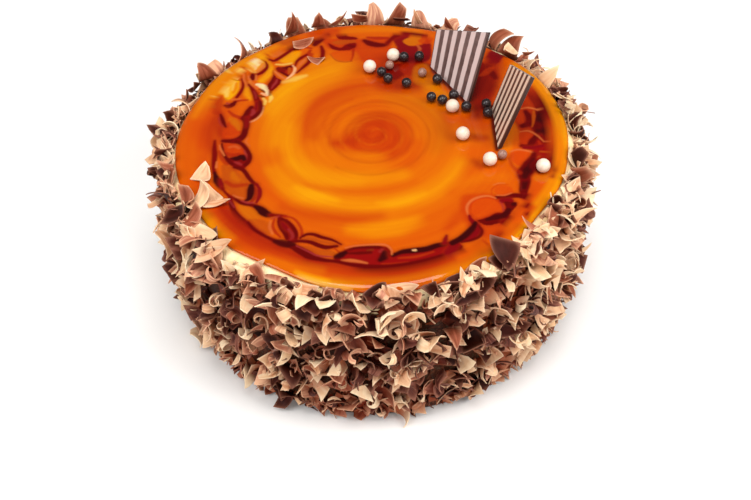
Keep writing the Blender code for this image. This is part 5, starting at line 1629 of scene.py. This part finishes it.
def make_plate_finish(name, start, end, stripes):
    """Dark chocolate with cream-white stripes on its broad faces, fanned between its sides."""
    finish, tree, shader = new_finish(name + "_finish", 0.32, IOR=1.45)
    place = in_frame(tree, plate_frame(start, end))
    part = add_node(tree, "ShaderNodeSeparateXYZ", {0: place}).outputs
    foot = (Vector(end) - Vector(start)).length
    inward = number(tree, "MULTIPLY_ADD", part[1], -stripes.left_lean, part[0])
    across = number(tree, "MULTIPLY_ADD", part[1], stripes.right_lean - stripes.left_lean, foot)
    share = number(tree, "DIVIDE", inward, across)
    uneven = use_group(tree, UNEVEN, {"Place": place, "Size": 240.0})
    wander = waver(tree, uneven["Mask"], STRIPE_WANDER, share)
    cycle = number(tree, "DIVIDE", number(tree, "SUBTRACT", wander, stripes.first), stripes.spacing)
    within = number(tree, "FRACT", cycle)
    middle = number(tree, "ABSOLUTE", number(tree, "SUBTRACT", within, 0.5 * WHITE_SHARE))
    stripe = number(tree, "MULTIPLY_ADD", middle, -STRIPE_SHARPNESS,
                    0.5 + 0.5 * STRIPE_SHARPNESS * WHITE_SHARE, clamp=True)
    started = number(tree, "GREATER_THAN", cycle, 0.0)
    ended = number(tree, "LESS_THAN", cycle, float(STRIPE_COUNT))
    off_middle = number(tree, "ABSOLUTE", part[2])
    on_face = number(tree, "GREATER_THAN", off_middle, 0.5 * PLATE_THICKNESS - FACE_DEPTH)
    mask = number(tree, "MULTIPLY", number(tree, "MULTIPLY", stripe, started),
                  number(tree, "MULTIPLY", ended, on_face))
    dark = blend_colours(tree, on_face, PLATE_EDGE, ramp(tree, uneven["Mask"], stripes.dark))
    colour = blend_colours(tree, mask, dark, stripes.white)
    tree.links.new(colour, shader.inputs["Base Color"])
    add_bump(tree, shader, uneven["Height"], distance=0.0002, strength=0.25)
    return finish


for name, start, end, stripes in PLATES:
    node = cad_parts[name]
    finish = make_plate_finish(name, start, end, stripes)
    for material_slot in node.material_slots:
        material_slot.link = "OBJECT"
        material_slot.material = finish
    print(name, "slots", len(node.material_slots))

# %% [markdown]
# ## Sugar pearls
#
# The pearls are sugar balls in a thin chocolate coat. A tumbler polishes them, so they are
# round but never perfect: each gets soft flats and a size of its own. The white ones are
# satin, the dark ones shine.

# %% Pearl mesh
PEARL_SEED = 8
# soft flats and swells of a pearl: how many, their range of heights, how narrow
SWELLS, SWELL_HEIGHTS, SWELL_POWER = 5, (-0.05, 0.02), 4


def make_pearl(node_name, rng, finish, slot):
    """Slightly uneven ball in the place of one packed pearl."""
    low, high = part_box(node_name)
    middle = (Vector(low) + Vector(high)) / 2
    radius = (high[2] - low[2]) / 2
    bm = bmesh.new()
    bmesh.ops.create_icosphere(bm, subdivisions=4, radius=radius)
    swells = [(Vector((rng.gauss(0, 1), rng.gauss(0, 1), rng.gauss(0, 1))).normalized(),
               rng.uniform(*SWELL_HEIGHTS)) for _ in range(SWELLS)]
    points = []
    for vertex in bm.verts:
        way = vertex.co.normalized()
        scale = 1 + sum(height * max(0.0, way.dot(pole)) ** SWELL_POWER for pole, height in swells)
        points.append(middle + vertex.co * scale)
    faces = [[vertex.index for vertex in face.verts] for face in bm.faces]
    bm.free()
    piece = mesh_piece(node_name + "_coated", np.array(points), [np.array(faces)], finish)
    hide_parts(node_name)
    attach(piece, "root")
    return piece


def make_pearl_finish(name, tones, roughness):
    """Coated sugar pearl, faintly clouded."""
    finish, tree, shader = new_finish(name, roughness, IOR=1.48)
    uneven = use_group(tree, UNEVEN, {"Place": object_place(tree), "Size": 420.0})
    tree.links.new(ramp(tree, uneven["Mask"], tones), shader.inputs["Base Color"])
    add_bump(tree, shader, uneven["Height"], distance=0.0002, strength=0.15)
    return finish


# two tones with their places, roughness and slot
PEARLS = {
    "white_pearl": (((0.3, (0.74, 0.58, 0.44)), (0.7, (0.82, 0.69, 0.56))), 0.34, "white_chocolate"),
    "dark_pearl": (((0.3, (0.010, 0.005, 0.006)), (0.7, (0.03, 0.016, 0.016))), 0.27, "dark_chocolate"),
    "milk_pearl": (((0.3, (0.26, 0.12, 0.085)), (0.7, (0.36, 0.19, 0.14))), 0.3, "milk_chocolate"),
}
PEARL_FINISHES = {kind: (make_pearl_finish(kind, tones, roughness), slot)
                  for kind, (tones, roughness, slot) in PEARLS.items()}
pearl_rng = random.Random(PEARL_SEED)
pearls = [make_pearl(name, pearl_rng, *PEARL_FINISHES[name.rsplit("_", 1)[0]])
          for name in sorted(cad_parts) if "pearl" in name]
print("pearls", len(pearls))

# %% [markdown]
# ## Floor and light
#
# A pale floor and soft studio light. Nothing bright stands where the glaze would mirror it
# to the camera, or its deep orange would wash out, so the large lights hang to the left, to
# the right, in front and high above.

# %% Floor
FLOOR_REACH, FLOOR_SIDES = 3.0, 96
FLOOR_COLOUR = (0.90, 0.89, 0.87, 1)


def make_floor():
    """Plain pale floor under the cake."""
    finish = new_finish("pale_floor", 0.7, Base_Color=FLOOR_COLOUR)[0]
    bpy.ops.mesh.primitive_circle_add(vertices=FLOOR_SIDES, radius=FLOOR_REACH, fill_type="NGON")
    floor = bpy.context.object
    floor.name = "floor"
    floor.data.materials.append(finish)
    return floor


floor = make_floor()
print("floor", floor.name)

# %% Light
# name, place, side in metres and power in watts
LIGHTS = (("key", (-0.9, -0.35, 0.95), 0.8, 9.5), ("fill", (0.95, -0.25, 0.75), 0.8, 10.5),
          ("above", (0.05, -0.15, 1.4), 0.7, 13.0), ("front", (0.15, -1.25, 0.55), 1.2, 5.5))
AIM = Vector((0, 0, 0.06))
WORLD_COLOUR = (1.0, 1.0, 1.0, 1)
WORLD_STRENGTH = 0.12


def add_light(name, spot, size, power):
    """Soft square light that faces the cake."""
    lamp = bpy.data.lights.new(name, "AREA")
    lamp.size = size
    lamp.energy = power
    light = bpy.data.objects.new(name, lamp)
    light.location = spot
    light.rotation_euler = (AIM - Vector(spot)).to_track_quat("-Z", "Y").to_euler()
    bpy.context.scene.collection.objects.link(light)


for light in LIGHTS:
    add_light(*light)
world = bpy.data.worlds.new("studio")
world.use_nodes = True
background = world.node_tree.nodes["Background"].inputs
background["Color"].default_value = WORLD_COLOUR
background["Strength"].default_value = WORLD_STRENGTH
bpy.context.scene.world = world
bpy.context.scene.view_settings.view_transform = "Standard"
print("lights", len(LIGHTS))
